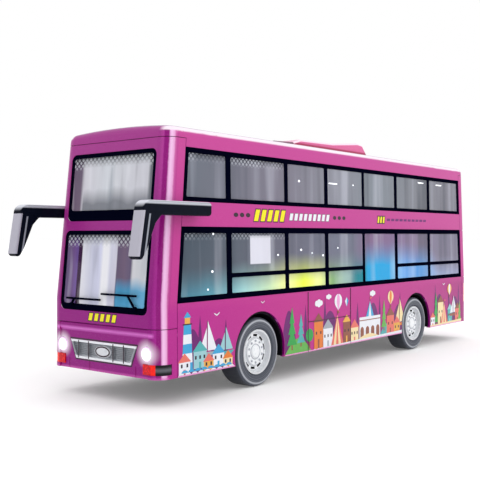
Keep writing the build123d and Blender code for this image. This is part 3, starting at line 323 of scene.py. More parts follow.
DOT_PITCH = 1.9 * MM
DOT_BAND = 4.2 * MM
DOTTED_TO = 64.0
DOT_STRENGTH = {"upper": 0.7, "lower": 0.4}
# The pane with a painted patch of the white backdrop seen through the bus: first and last station, foot and
# top
SEE_THROUGH = (44.0, 55.4, 41.8, 51.4)


def dotted(along, up, top, band):
    """Shares of a dark top edge and of a mesh of pale dots that fades downwards."""
    rows, lines = (value * (math.pi / DOT_PITCH) for value in (up, along))
    dots = (rows + lines).sine() * (rows - lines).sine()
    share = up.stretch(top - band, top)
    pale = abs(dots).stretch(0.38, 0.5)
    return share.stretch(0.25, 0.85) * 0.9, pale * share.between(0.2, 0.86, 0.12)


def smoked_sheet(deck, tints, opacity):
    """One deck's window sheet: smoked and streaked, meshed along its front tops, lit on the lower deck."""
    low, high = (corner.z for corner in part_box(f"window_glass_{deck}_left"))
    look = Look(f"smoked_sheet_{deck}", Roughness=0.08, Specular_IOR_Level=0.2)
    x, y, z = look.split("Object")
    run = y.stretch(*map(at, SHEETS_RUN))
    streaks = look.noise(75.0, 2.0, (1, 1.5, 0.07))
    look.colour = run.ramp(tints)
    look.over(streaks.stretch(0.54, 0.70, 0.0, 0.5), rgb(204, 206, 220))
    look.over(streaks.stretch(0.46, 0.30, 0.0, 0.45), rgb(60, 68, 82))
    if deck == "lower":
        wave = look.noise(60.0, 2.0, (1, 1, 0.2)) * (5 * MM) - 2.5 * MM
        rise = run.ramp(GLOW_RISE) * (high - low) + low
        lit = (z - (rise + wave)).stretch(7 * MM, -3.5 * MM) ** 1.4
        sheen = look.noise(70.0, 2.0, (1, 1, 0.1)).stretch(0.5, 0.66) * lit
        look.over(lit, run.ramp(GLOW))
        look.over(sheen * 0.25, rgb(250, 252, 240))
        # Painted light: the white backdrop seen through the bus in one pane
        start, end, foot, top = SEE_THROUGH
        opening = (y.between(at(start), at(end), 0.15 * MM) * z.between(foot * MM, top * MM, 0.15 * MM)
                   * (x > 0.0))
        look.over(opening, rgb(224, 224, 236))
    # Painted highlight along the foot of each pane
    look.over(z.between(low + 0.1 * MM, low + 0.6 * MM, 0.15 * MM) * 0.5, rgb(216, 220, 230))
    dark, dots = dotted(y, z, high, DOT_BAND)
    ahead = y < at(DOTTED_TO)
    patchy = look.noise(90.0, 1.0, (1, 1, 0.1)).stretch(0.38, 0.62, 0.15, DOT_STRENGTH[deck])
    look.over(dark * ahead, rgb(10, 12, 26))
    look.over(dots * ahead * patchy, rgb(206, 210, 220))
    if deck == "lower":
        look.glow((lit * 0.2).larger(opening * 0.1))
    look.set(Alpha=streaks.stretch(0.3, 0.7, *opacity))
    return look.finish()


# Windscreens: half width, bands of painted light and shade from the bus's right to its left, the tinted foot,
# on the lower screen painted light from inside, as lowest and highest level, where it starts across, and its
# colour
SCREENS = {
    "lower": {
        "half": 19.3,
        "bands": [
            (0.00, 100, 84, 122), (0.10, 116, 86, 142), (0.155, 124, 94, 168), (0.165, 60, 28, 62),
            (0.205, 60, 30, 66), (0.215, 240, 240, 250), (0.35, 210, 212, 234), (0.44, 220, 222, 246),
            (0.47, 250, 250, 255), (0.53, 248, 248, 255), (0.56, 214, 214, 234), (0.628, 216, 214, 232),
            (0.64, 98, 82, 112), (0.72, 116, 96, 124), (0.80, 104, 92, 124), (0.825, 222, 222, 228),
            (0.97, 206, 210, 218), (1.00, 120, 124, 138),
        ],
        "glow": (32.6, 36.6, 0.64, rgb(56, 168, 218)),
        "opacity": 0.86,
    },
    "upper": {
        "half": 18.9,
        "bands": [
            (0.00, 104, 84, 112), (0.12, 118, 100, 124), (0.15, 222, 220, 230), (0.45, 220, 224, 232),
            (0.50, 186, 192, 202), (0.55, 220, 222, 230), (0.93, 216, 216, 226), (0.96, 120, 124, 132),
            (1.00, 96, 100, 108),
        ],
        "glow": (59.6, 64.5, 0.15, rgb(112, 116, 126)),
        "opacity": 0.84,
    },
}


def windscreen_sheet(deck):
    """A windscreen sheet: bands of painted light and shade, a meshed top and a tinted foot, on the lower
    screen painted light from inside.
    """
    plan = SCREENS[deck]
    look = Look(f"windscreen_sheet_{deck}", Roughness=0.06, Specular_IOR_Level=0.25)
    x, _, z = look.split("Object")
    across = x.stretch(-plan["half"] * MM, plan["half"] * MM)
    look.colour = across.ramp(plan["bands"])
    streaks = look.noise(260.0, 2.0, (1, 1, 0.06))
    look.over(streaks.stretch(0.55, 0.75, 0.0, 0.35), rgb(246, 246, 252))
    look.over(streaks.stretch(0.45, 0.25, 0.0, 0.3), rgb(84, 80, 108))
    low, high, start, tint = plan["glow"]
    wave = look.noise(160.0, 1.0, (1, 1, 0.1)) * (4 * MM)
    foot = (z - wave).stretch(high * MM, low * MM) * across.stretch(start - 0.01, start + 0.01)
    look.over(foot * 0.85, tint)
    dark, dots = dotted(x, z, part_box(f"windscreen_{deck}")[1].z - 0.2 * MM, DOT_BAND * 1.2)
    look.over(dark, rgb(12, 16, 28))
    look.over(dots * 0.6, rgb(216, 220, 228))
    look.set(Alpha=streaks.stretch(0.3, 0.7, plan["opacity"] - 0.06, plan["opacity"] + 0.06))
    return look.finish()


def clear_sheet(name, colour, alpha):
    """A plain clear sheet with faint upright streaks."""
    look = Look(name, Roughness=0.05, Specular_IOR_Level=0.4)
    streaks = look.noise(70.0, 3.0, (1.5, 1, 0.15))
    look.colour = look.blend(streaks.stretch(0.35, 0.65), colour, rgb(140, 140, 160))
    look.set(Alpha=streaks.stretch(0.3, 0.7, alpha * 0.8, alpha * 1.3))
    return look.finish()


# Wheels: radii on the tyre in millimetres, on the disc in metres
SIDEWALL = (8.6, 10.2)
SHOULDER_HIGHLIGHT = (10.35, 10.95)
TREAD_R = 11.6
TREAD_BLOCKS = 44
RIM_LINES = ((6.3 * MM, 6.55 * MM), (4.75 * MM, 4.95 * MM))
OUTER_RIM = (6.5 * MM, 6.7 * MM)
SLOT_BAND = (5.12 * MM, 6.08 * MM)
SLOT_MOUTH = 1.98 * MM


def tyre_rubber():
    """Rubber with fine rings on the sidewall, a painted highlight ring round the shoulder and cross grooves
    on the tread.
    """
    look = Look("tyre_rubber", Roughness=0.45, Specular_IOR_Level=0.35)
    across, up = (part - 0.5 for part in look.split("Generated")[1:])
    radius = reach(across, up) * (2 * TYRE_R / MM)
    look.colour = look.blend(look.noise(1500.0, 3.0), rgb(62, 67, 79), rgb(76, 81, 93))
    rings = (radius * 9.0).sine()
    wall = radius.between(*SIDEWALL, 0.1)
    look.over(wall * 0.3 * rings.stretch(0.2, 1.0), rgb(148, 152, 160))
    # Painted highlight round the tyre's shoulder
    look.over(radius.between(*SHOULDER_HIGHLIGHT, 0.15) * 0.75, rgb(196, 200, 208))
    tread = radius > TREAD_R
    blocks = (up.angle(across) * TREAD_BLOCKS).sine() > -0.5
    look.over(tread * 0.6, rgb(44, 46, 54))
    look.bump(rings * (wall * 0.5) + tread * blocks * 1.5, 0.5, 0.12 * MM)
    return look.finish()


def wheel_silver():
    """Bright wheel with a greyer outer ring and painted black shade in the slots."""
    look = Look("wheel_silver", Roughness=0.3)
    fine = look.noise(900.0, 1.0)
    look.colour = look.blend(fine, rgb(242, 246, 250), rgb(250, 252, 254))
    x, y, z = look.split("Object")
    to_front, to_rear = (reach(y - axle.y, z - axle.z) for axle in AXLES.values())
    radius = to_front.smaller(to_rear)
    outer_line, inner_line = (radius.between(*line, 0.08 * MM) for line in RIM_LINES)
    look.over(outer_line.larger(inner_line) * 0.5, rgb(120, 124, 134))
    look.over(radius.stretch(*OUTER_RIM) * 0.35, rgb(150, 154, 164))
    # Painted shade: black where the slots are deep
    deep = abs(x) < TYRE_X - SLOT_MOUTH
    look.over(deep * (radius > SLOT_BAND[0]) * (radius < SLOT_BAND[1]), rgb(10, 11, 18))
    look.set(Roughness=fine.stretch(0.3, 0.7, 0.25, 0.35))
    return look.finish()


# Lamps, grille and mirrors
LENS_SPLIT = 22.7
LENS_SHINE = (10.9 * MM, 12.0 * MM)
FLUTE_PITCH = 0.7 * MM
# A mirror's painted highlight line down its foot: station and height of its foot, height of its top, and how
# far back it leans
HIGHLIGHT_LINE_FOOT = (-10.9, 46.2)
HIGHLIGHT_LINE_TOP = 57.6
HIGHLIGHT_LINE_LEAN = 0.18
HIGHLIGHT_LINE_W = 0.6 * MM


def lamp(name, colour, lit, strength, scale):
    """A lamp lens with a pressed pattern and some light of its own."""
    look = Look(name, Roughness=0.2, Coat_Weight=0.2, Specular_IOR_Level=0.2)
    place = out(look.tree, "TexCoord", output="Object")
    cells = out(look.tree, "TexVoronoi", {"Vector": place, "Scale": scale})
    look.colour = look.blend(cells.stretch(0.0, 0.6), lit, colour)
    look.glow(strength)
    look.bump(cells, 0.3, 0.1 * MM)
    return look.finish()


def headlamp_lens():
    """A lit lens: white at its core, lilac towards its edge."""
    look = Look("headlamp_lens", Roughness=0.15, Specular_IOR_Level=0.3)
    x, _, z = look.split("Object")
    core = lamp_reach(x, z, 2.3 * MM, 0.2 * MM).stretch(2.4 * MM, 1.3 * MM)
    flutes = (x * (2 * math.pi / FLUTE_PITCH)).sine()
    look.colour = look.blend(flutes.stretch(-1.0, 1.0), rgb(214, 160, 216), rgb(238, 206, 240))
    look.over(core, rgb(255, 255, 255))
    look.glow(core.stretch(0.0, 1.0, 0.15, 1.4))
    return look.finish()


def smoked_lens():
    """The corner lamps' outer lens: red next to the nose lamp, then black with a grey shine."""
    look = Look("smoked_lens", Roughness=0.2, Specular_IOR_Level=0.2)
    x, _, z = look.split("Object")
    black = look.blend(z.between(*LENS_SHINE, 0.4 * MM) * 0.6, rgb(6, 6, 14), rgb(120, 122, 130))
    red = look.blend(look.noise(1200.0), rgb(206, 4, 14), rgb(246, 40, 20))
    reds = abs(x).stretch((LENS_SPLIT + 0.1) * MM, (LENS_SPLIT - 0.1) * MM)
    look.colour = look.blend(reds, black, red)
    look.glow(reds * 0.3)
    return look.finish()


def grille_silver():
    """The grille: grey mesh with a bright rim above and below."""
    low, high = (corner.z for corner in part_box("grille"))
    look = Look("grille_silver", Metallic=0.2, Roughness=0.3)
    z = look.split("Object")[2]
    look.colour = look.blend(look.noise(1600.0), rgb(112, 116, 124), rgb(172, 176, 184))
    foot, top = z.stretch(low + 1.1 * MM, low + 0.7 * MM), z.stretch(high - 0.9 * MM, high - 0.6 * MM)
    look.over(foot.larger(top), rgb(236, 238, 244))
    return look.finish()


def mirror_plastic():
    """Gloss black plastic with painted highlights: a pale top, a pale line under it and a pale line down the
    foot.
    """
    look = Look("mirror_gloss_black", Roughness=0.25, Specular_IOR_Level=0.05)
    out_x, out_y, out_z = look.split("Normal")
    y, z = look.split("Object")[1:]
    look.colour = look.blend(look.noise(700.0), rgb(6, 10, 22), rgb(14, 19, 34))
    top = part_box("mirror_left")[1].z
    # Painted highlight along the arm's top edge
    line = z.between(top - 1.0 * MM, top - 0.3 * MM, 0.2 * MM) * abs(out_y).stretch(0.7, 0.4)
    look.over(line * 0.85, rgb(206, 210, 220))
    # Painted highlight on the upward faces
    look.over(out_z.stretch(0.3, 0.75), rgb(214, 216, 226))
    # Painted highlight line down the foot
    station, foot = at(HIGHLIGHT_LINE_FOOT[0]), HIGHLIGHT_LINE_FOOT[1] * MM
    behind = y - ((z - foot) * HIGHLIGHT_LINE_LEAN + station)
    highlight_line = behind.between(0.0, HIGHLIGHT_LINE_W, 0.08 * MM) * z.between(foot, HIGHLIGHT_LINE_TOP * MM, 0.1 * MM)
    look.over(highlight_line * abs(out_x).stretch(0.7, 0.9) * 0.8, rgb(168, 172, 184))
    return look.finish()


BOLT_SILVER = paint("bolt_silver", rgb(168, 172, 182), rgb(190, 194, 202), 0.3, 0.2, grain=1500.0)
# Each look with the starts of its nodes' names, of which the first that fits is taken
LOOKS = [
    (paint("window_frame_black", rgb(2, 3, 18), rgb(5, 7, 26), 0.3, specular=0.0),
     ("window_frame", "windscreen_frame", "rear_window_frames", "wipers")),
    (smoked_sheet("lower", LOWER_TINTS, (0.78, 0.9)), ("window_glass_lower",)),
    (smoked_sheet("upper", UPPER_TINTS, (0.76, 0.88)), ("window_glass_upper", "rear_windows")),
    (windscreen_sheet("lower"), ("windscreen_lower",)),
    (windscreen_sheet("upper"), ("windscreen_upper",)),
    (clear_sheet("door_sheet", rgb(96, 104, 118), 0.55), ("door_front_glass", "door_middle_glass")),
    (tyre_rubber(), ("tyre",)),
    (wheel_silver(), ("wheel_",)),
    (paint("axle_steel", rgb(150, 152, 156), rgb(180, 182, 186), 0.3, 1.0), ("axle",)),
    (paint("base_black", rgb(8, 6, 14), rgb(16, 14, 22), 0.6, specular=0.1),
     ("chassis_base", "battery_hatch", "motor_housing", "bay_liners")),
    (paint("seat_grey", rgb(120, 124, 140), rgb(150, 154, 168), 0.5),
     ("lower_deck_seats", "upper_deck_seats", "driver_seat")),
    (paint("cab_grey", rgb(40, 40, 56), rgb(60, 60, 78), 0.5), ("dashboard", "steering_wheel")),
    (paint("mirror_silver", rgb(172, 170, 184), rgb(182, 180, 194), 0.35, grain=300.0, bumpiness=0.0),
     ("mirror_faces",)),
    (mirror_plastic(), ("mirror_left", "mirror_right")),
    (paint("grille_boss", rgb(206, 208, 214), rgb(232, 234, 240), 0.3, grain=300.0), ("grille_oval",)),
    (grille_silver(), ("grille",)),
    (headlamp_lens(), ("headlamps",)),
    (lamp("red_lens", rgb(176, 0, 14), rgb(236, 16, 20), 0.3, 1400.0), ("corner_lamps_red", "tail_lamps")),
    (smoked_lens(), ("corner_lamps_smoke",)),
    (lamp("amber_lens", rgb(200, 80, 10), rgb(250, 140, 30), 0.15, 1400.0), ("tail_indicators",)),
    (pod_paint(), ("roof_pod",)),
    (body_paint(), ("body_side", "roof", "front_", "rear_mask", "door_")),
]
for node, thing in nodes.items():
    material = next(look for look, starts in LOOKS if node.startswith(starts))
    for part in thing.material_slots:
        part.material = material

# Printed town along both lower sides: generic houses, trees, tents, boats and hills
PRINT_LIFT = 0.02 * MM
LAYER_LIFT = 0.0005 * MM
ARCH_R = 14.05
AXLE_STATIONS = {name: (place.y - FRONT_Y) / MM for name, place in AXLES.items()}
AXLE_RISE = AXLES["front"].z / MM
PRINT_FRONT = 8.0
PRINT_REAR = 213.1
PRINT_LOW = SKIRT_Z / MM + 0.1
PRINT_HIGH = SILL_Z / MM - 0.4
EDGE_STEP = 1.2
FLAP_FRONT = 77.5
FLAP_REAR = 107.4
FLAP_MIDDLE = 19.5
SEAM_W = 0.3
arch_ends = [station + sign * ARCH_R for station in AXLE_STATIONS.values() for sign in (-1, 1)]
SKIRT_SPANS = list(zip([PRINT_FRONT] + arch_ends[1::2], arch_ends[0::2] + [PRINT_REAR]))

# The two close colours of each ink
PRINTS = {
    "white": ((246, 246, 250), (226, 230, 240)),
    "grey": ((176, 182, 190), (150, 160, 172)),
    "teal": ((96, 190, 186), (66, 160, 168)),
    "pale_teal": ((170, 212, 216), (140, 194, 204)),
    "green": ((56, 178, 82), (40, 150, 70)),
    "leaf": ((120, 196, 90), (86, 166, 70)),
    "cyan": ((70, 176, 222), (46, 150, 206)),
    "gold": ((242, 186, 84), (226, 160, 60)),
    "cream": ((250, 232, 184), (240, 214, 160)),
    "orange": ((240, 142, 58), (222, 112, 44)),
    "coral": ((238, 128, 110), (224, 100, 92)),
    "brown": ((158, 92, 70), (128, 70, 54)),
    "dark": ((58, 36, 52), (38, 22, 40)),
    "plum": ((120, 10, 112), (88, 4, 100)),
    "pink": ((246, 176, 222), (232, 146, 206)),
    "yellow": ((252, 240, 30), (240, 226, 20)),
}
INKS = {name: paint("print_" + name, *(rgb(*tone) for tone in tones), 0.35, grain=500.0, coat=0.3,
                    specular=0.15, bumpiness=0.02) for name, tones in PRINTS.items()}


def ring(s, z, r, start=0.0, end=360.0, steps=20, squash=1.0):
    """Points of an arc in (station, height), in millimetres."""
    turns = [math.radians(start + (end - start) * i / steps) for i in range(steps + 1)]
    return [(s + r * math.cos(t), z + r * squash * math.sin(t)) for t in turns]


def bar(s0, s1, z0, z1):
    return [(s0, z0), (s1, z0), (s1, z1), (s0, z1)]


# Motifs: each takes a station and a height first, and gives (colour, outline) shapes back to front


def house(s, z, w, h, wall, roof, windows=2):
    """A gabled house with a door and a row of windows."""
    mid, eaves, pane = s + w / 2, z + h, z + h * 0.55
    middles = [s + w / windows * (i + 0.5) for i in range(windows)]
    return [
        (wall, bar(s, s + w, z, eaves)),
        (roof, [(s - 0.5, eaves), (s + w + 0.5, eaves), (mid, eaves + w * 0.55)]),
        *(("dark", bar(x - 0.4, x + 0.4, pane, pane + 1.1)) for x in middles),
        (roof, bar(mid - 0.5, mid + 0.5, z, z + h * 0.38)),
    ]


def fir(s, z, w, h, colour):
    """A fir tree of three tiers on a short trunk."""
    shapes = [("brown", bar(s - 0.4, s + 0.4, z, z + h * 0.15))]
    for tier in range(3):
        low = z + h * (0.12 + 0.25 * tier)
        half = w / 2 * (1 - 0.25 * tier)
        shapes.append((colour, [(s - half, low), (s + half, low), (s, low + h * 0.38)]))
    return shapes


def round_tree(s, z, r, h, colour):
    return [("brown", bar(s - 0.35, s + 0.35, z, z + h - r)), (colour, ring(s, z + h - r, r)[:-1])]


def tent(s, z, w, h, first, second, stripes=5):
    """A striped tent with a pennant."""
    mid, top = s + w / 2, z + h
    feet = [s + w * i / stripes for i in range(stripes + 1)]
    return [
        *((second if i % 2 else first, [(feet[i], z), (feet[i + 1], z), (mid, top)]) for i in range(stripes)),
        ("dark", bar(mid - 0.12, mid + 0.12, top, top + 1.8)),
        ("coral", [(mid + 0.1, top + 1.8), (mid + 1.9, top + 1.3), (mid + 0.1, top + 0.8)]),
    ]


def lighthouse(s, z, w, h, first, second):
    """A tapered, banded tower with a lantern room."""
    bands, tower, taper = 5, 0.78, 0.35
    edges = [(w / 2 * (1 - taper * i / bands), z + h * tower * i / bands) for i in range(bands + 1)]
    shapes = []
    for i, ((wide, foot), (narrow, top)) in enumerate(zip(edges, edges[1:])):
        outline = [(s - wide, foot), (s + wide, foot), (s + narrow, top), (s - narrow, top)]
        shapes.append((second if i % 2 else first, outline))
    cap = top + h * 0.12
    return shapes + [
        ("dark", bar(s - w * 0.42, s + w * 0.42, top, top + 0.4)),
        ("gold", bar(s - w * 0.24, s + w * 0.24, top + 0.4, cap)),
        (first, [(s - w * 0.34, cap), (s + w * 0.34, cap), (s, z + h)]),
    ]


def boat(s, z, w, hull, sail):
    """A small sailing boat."""
    return [
        (hull, [(s - w / 2, z + 1.2), (s - w * 0.32, z), (s + w * 0.32, z), (s + w / 2, z + 1.2)]),
        ("dark", bar(s - 0.1, s + 0.1, z + 1.2, z + w)),
        (sail, [(s + 0.25, z + 1.6), (s + w * 0.42, z + 1.6), (s + 0.25, z + w)]),
        (sail, [(s - 0.25, z + 1.6), (s - 0.25, z + w * 0.8), (s - w * 0.34, z + 1.6)]),
    ]


def balloon(s, z, r, first, second):
    """A hot-air balloon with one broad stripe and a basket."""
    body = ring(s, z, r, -50, 230)
    neck = [(s, z - r * 1.35)]
    narrow = [(s + (x - s) * 0.4, y) for x, y in body]
    basket = bar(s - r * 0.22, s + r * 0.22, z - r * 1.8, z - r * 1.45)
    return [(first, body + neck), (second, narrow + neck), ("brown", basket)]


def cloud(s, z, w):
    """A flat foot under three round bumps."""
    bumps = [ring(s + shift * w, z + w * 0.1, size * w)[:-1]
             for shift, size in ((-0.3, 0.2), (0.0, 0.28), (0.3, 0.18))]
    return [("white", outline) for outline in [bar(s - w * 0.42, s + w * 0.42, z, z + w * 0.12)] + bumps]


def hill(s0, z, s1, h, colour, steps=16):
    crest = [(s1 + (s0 - s1) * i / steps, z + h * math.sin(math.pi * i / steps)) for i in range(1, steps)]
    return [(colour, [(s0, z), (s1, z)] + crest)]


def spire(s, z, h, colour):
    waist = z + h * 0.7
    return [(colour, [(s - 1.3, z), (s + 1.3, z), (s + 0.7, waist), (s, z + h), (s - 0.7, waist)])]


def viaduct(s, z, w, h, arches, colour, shade):
    """A wall with arched openings."""
    shapes = [(colour, bar(s, s + w, z + h * 0.72, z + h))]
    pitch = w / arches
    half = pitch * 0.32
    for i in range(arches):
        mid = s + pitch * (i + 0.5)
        shapes.append((colour, bar(s + pitch * i, s + pitch * (i + 1), z, z + h * 0.72)))
        shapes.append((shade, [(mid - half, z), (mid + half, z)] + ring(mid, z + h * 0.45, half, 0, 180, 8)))
    shapes.append((shade, bar(s, s + w, z + h * 0.84, z + h * 0.88)))
    return shapes


def waves(s0, z, s1, colour, pitch=3.0):
    """A row of low bumps."""
    count = max(1, round((s1 - s0) / pitch))
    step = (s1 - s0) / count
    return [(colour, [(s0 + i * step, z), (s0 + (i + 1) * step, z)]
             + ring(s0 + (i + 0.5) * step, z, step / 2, 0, 180, 8, 0.6)[1:-1]) for i in range(count)]


def kite(s, z, size, first, second):
    return [(first, [(s, z - size), (s + size * 0.6, z), (s, z + size * 0.7)]),
            (second, [(s, z - size), (s, z + size * 0.7), (s - size * 0.6, z)])]


def bird(s, z, size):
    """Two short strokes that meet, a bird far off."""
    wing = 0.28 * size
    right, left = z + size * 0.6, z + size * 0.5
    return [("white", [(s, z), (s + size, right), (s + size, right + wing), (s, z + wing)]),
            ("white", [(s, z), (s, z + wing), (s - size, left + wing), (s - size, left)])]


# Start, end and height of each hill behind the town, then station and height of each spire
FAR_HILLS = ((8.0, 21.0, 14.0), (20.0, 34.0, 10.0), (60.0, 71.0, 16.0), (84.0, 101.0, 14.0),
             (118.0, 133.0, 15.0), (139.0, 157.0, 13.0), (180.0, 197.0, 15.0), (199.0, 213.0, 13.0))
FAR_SPIRES = ((18.0, 18.0), (30.5, 16.0), (76.0, 17.5), (89.0, 19.5), (113.0, 16.0), (131.0, 18.0),
              (149.0, 18.0), (184.0, 20.0), (199.0, 18.0), (210.0, 19.0))
# Motif, station, rise above the foot of the print, and what the motif's own function asks for
TOWN_PLAN = [
    # Ahead of the front wheel
    (lighthouse, 12.2, 1.0, 5.0, 18.5, "cyan", "white"), (boat, 21.4, 5.0, 11.0, "grey", "white"),
    (boat, 30.2, 4.4, 9.0, "teal", "pale_teal"), (house, 15.0, 1.6, 6.0, 5.2, "pale_teal", "teal", 3),
    (house, 24.0, 1.4, 5.6, 3.8, "white", "cyan"), (house, 8.4, 0.6, 5.0, 3.6, "white", "coral"),
    (house, 19.8, 0.3, 4.6, 3.0, "gold", "coral"), (house, 29.2, 0.0, 4.6, 3.2, "cream", "orange"),
    (waves, 8.0, 0.0, 34.8, "white"), (waves, 9.5, 0.9, 33.5, "cyan"), (waves, 8.0, -0.3, 34.8, "white"),
    (bird, 26.0, 17.2, 1.3),
    # Between the wheels
    (hill, 62.8, 0.0, 80.0, 5.6, "leaf"), (fir, 67.4, 1.6, 6.0, 15.5, "green"),
    (fir, 73.0, 2.4, 5.0, 12.0, "teal"), (round_tree, 78.6, 1.0, 2.4, 7.4, "green"),
    (house, 81.6, 0.0, 6.0, 10.4, "orange", "brown", 2), (house, 87.8, 0.0, 6.6, 7.4, "white", "grey", 3),
    (tent, 93.0, 0.0, 9.4, 12.0, "coral", "cream"), (house, 102.0, 0.0, 5.2, 8.8, "brown", "gold"),
    (house, 107.6, 0.0, 6.0, 6.0, "cream", "coral", 3), (balloon, 98.4, 17.4, 2.7, "white", "pink"),
    (cloud, 84.8, 16.8, 5.4), (cloud, 91.6, 19.0, 3.8), (kite, 104.6, 17.0, 2.2, "cyan", "white"),
    (viaduct, 114.4, 0.0, 17.0, 9.6, 4, "white", "brown"), (hill, 111.0, 0.0, 133.0, 2.6, "cream"),
    (hill, 130.6, 0.0, 143.0, 5.4, "teal"), (fir, 134.6, 2.6, 4.6, 13.0, "leaf"),
    (house, 137.0, 0.0, 6.4, 8.6, "coral", "brown", 2), (boat, 148.2, 3.6, 12.0, "orange", "cream"),
    (house, 143.4, 0.0, 5.2, 5.0, "gold", "coral", 2), (balloon, 140.4, 16.6, 2.5, "cream", "orange"),
    (tent, 119.6, 9.6, 6.4, 6.2, "cyan", "white", 3), (cloud, 125.0, 18.4, 4.6),
    (waves, 80.5, -0.2, 150.0, "white", 2.6),
    # Behind the rear wheel
    (fir, 184.6, 0.0, 5.0, 16.0, "green"), (house, 186.6, 0.0, 6.0, 11.0, "cream", "brown", 2),
    (tent, 189.4, 0.0, 8.2, 10.4, "coral", "cream"), (house, 197.4, 0.0, 5.0, 7.0, "teal", "pale_teal", 2),
    (balloon, 199.4, 17.0, 2.3, "gold", "white"), (boat, 203.6, 3.6, 10.0, "brown", "white"),
    (house, 205.8, 0.0, 5.6, 6.8, "coral", "brown", 2), (fir, 211.0, 0.0, 3.6, 11.0, "leaf"),
    (house, 179.0, 0.0, 4.4, 4.4, "white", "coral"), (waves, 178.8, -0.2, 212.9, "cream", 2.8),
    (bird, 193.0, 19.0, 1.2), (bird, 50.0, 19.6, 1.0),
]
# Start, end, height at the start, height at the end and ink of the pale ground
GROUND = ((84.0, 150.4, 0.5, 1.5, "white"), (178.6, 213.1, 0.9, 1.5, "cream"))


def town():
    """All printed shapes, back to front, as (colour, outline) in stations and heights."""
    low = PRINT_LOW
    shapes = []
    for start, end, height in FAR_HILLS:
        shapes += hill(start, low, end, height, "plum")
    for station, height in FAR_SPIRES:
        shapes += spire(station, low, height, "plum")
    for motif, station, rise, *sizes in TOWN_PLAN:
        shapes += motif(station, low + rise, *sizes)
    for start, end, low_h, high_h, ink in GROUND:
        shapes.append((ink, [(start, low), (end, low), (end, low + high_h), (start, low + low_h)]))
    # A pale pink line along the foot, between the arches
    for start, end in SKIRT_SPANS:
        shapes.append(("pink", bar(start, end, low, low + 0.4)))
    # Seams of the flap stay open to view
    for station in (FLAP_FRONT, FLAP_REAR):
        shapes.append(("dark", bar(station, station + SEAM_W, low, PRINT_HIGH)))
    shapes.append(("dark", bar(FLAP_FRONT, FLAP_REAR, FLAP_MIDDLE, FLAP_MIDDLE + SEAM_W * 0.7)))
    return shapes


def cut_at(points, axis, limit, keep_above):
    """An outline cut off along one station or height."""
    kept = []
    for here, there in zip(points, points[1:] + points[:1]):
        inside = (here[axis] >= limit) == keep_above
        next_inside = (there[axis] >= limit) == keep_above
        if inside:
            kept.append(here)
        if inside != next_inside:
            share = (limit - here[axis]) / (there[axis] - here[axis])
            kept.append(tuple(a + share * (b - a) for a, b in zip(here, there)))
    return kept


def within(points, zone):
    """An outline cut to a zone's stations and heights."""
    for axis, (low, high) in enumerate(zone):
        for limit, above in ((low, True), (high, False)):
            points = cut_at(points, axis, limit, above)
            if len(points) < 3:
                return []
    return points


def off_arches(points):
    """An outline with short edges, pushed out of the wheel arches."""
    dense = []
    for here, there in zip(points, points[1:] + points[:1]):
        steps = max(1, math.ceil(math.dist(here, there) / EDGE_STEP))
        dense += [tuple(a + (b - a) * i / steps for a, b in zip(here, there)) for i in range(steps)]
    pushed = []
    outside = 0
    for s, z in dense:
        for station in AXLE_STATIONS.values():
            away = (s - station, max(z - AXLE_RISE, 0.0))
            gap = math.hypot(*away)
            if gap < ARCH_R:
                if z <= AXLE_RISE:
                    s = station + math.copysign(ARCH_R, away[0])
                else:
                    s, z = station + away[0] * ARCH_R / gap, AXLE_RISE + away[1] * ARCH_R / gap
                break
        else:
            outside += 1
        pushed.append((s, z))
    return pushed if outside > 1 else []


def add_piece(name, verts, faces, materials, body, slot="body_purple", picks=()):
    """A finished mesh piece on a body, with each face's pick of the materials."""
    mesh = bpy.data.meshes.new(name)
    mesh.from_pydata(verts, [], faces)
    for material in materials:
        mesh.materials.append(material)
    for face, pick in zip(mesh.polygons, picks):
        face.material_index = pick
    piece = bpy.data.objects.new(name, mesh)
    bpy.context.scene.collection.objects.link(piece)
    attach(piece, body)


def print_piece(name, shapes, sign, body, zone, skin_x=None):
    """One mesh of flat printed shapes on a side wall, one ink for each colour."""
    verts, faces, picks = [], [], []
    for layer, (ink, outline) in enumerate(shapes):
        outline = within(outline, zone)
        outline = off_arches(outline) if outline and skin_x is None else outline
        if not outline:
            continue
        first = len(verts)
        for s, z in outline:
            x = SIDE_X if skin_x is None else skin_x(z * MM)
            verts.append((sign * (x + PRINT_LIFT + layer * LAYER_LIFT), at(s), z * MM))
        order = list(range(first, len(verts)))
        faces.append(order if sign > 0 else order[::-1])
        picks.append(list(INKS).index(ink))
    add_piece(name, verts, faces, INKS.values(), body, picks=picks)


BODY_ZONE = ((PRINT_FRONT, PRINT_REAR), (PRINT_LOW, PRINT_HIGH))
TOWN = town()
print_piece("printed_town_left", TOWN, 1, "coachwork", BODY_ZONE)

# The right side: the wall between the doors, then each door's own leaf below its panes
DOOR_EDGE = 0.35
HINGE_EDGE = 2.3
DOOR_PRINT = (9.9, 19.2)
DOORS = ("front", "middle")
door_spans = [[(corner.y - FRONT_Y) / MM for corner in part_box(f"door_{door}")] for door in DOORS]
(front_start, front_end), (middle_start, middle_end) = door_spans
wall_spans = [(PRINT_FRONT, front_start), (front_end, middle_start), (middle_end, PRINT_REAR)]
for count, (start, end) in enumerate(wall_spans):
    zone = ((start + DOOR_EDGE, end - DOOR_EDGE), (PRINT_LOW, PRINT_HIGH))
    print_piece(f"printed_town_right_{count}", TOWN, -1, "coachwork", zone)
for door, (start, end) in zip(DOORS, door_spans):
    print_piece(f"printed_town_{door}_door", TOWN, -1, f"{door}_door",
                ((start + HINGE_EDGE, end - DOOR_EDGE), DOOR_PRINT))


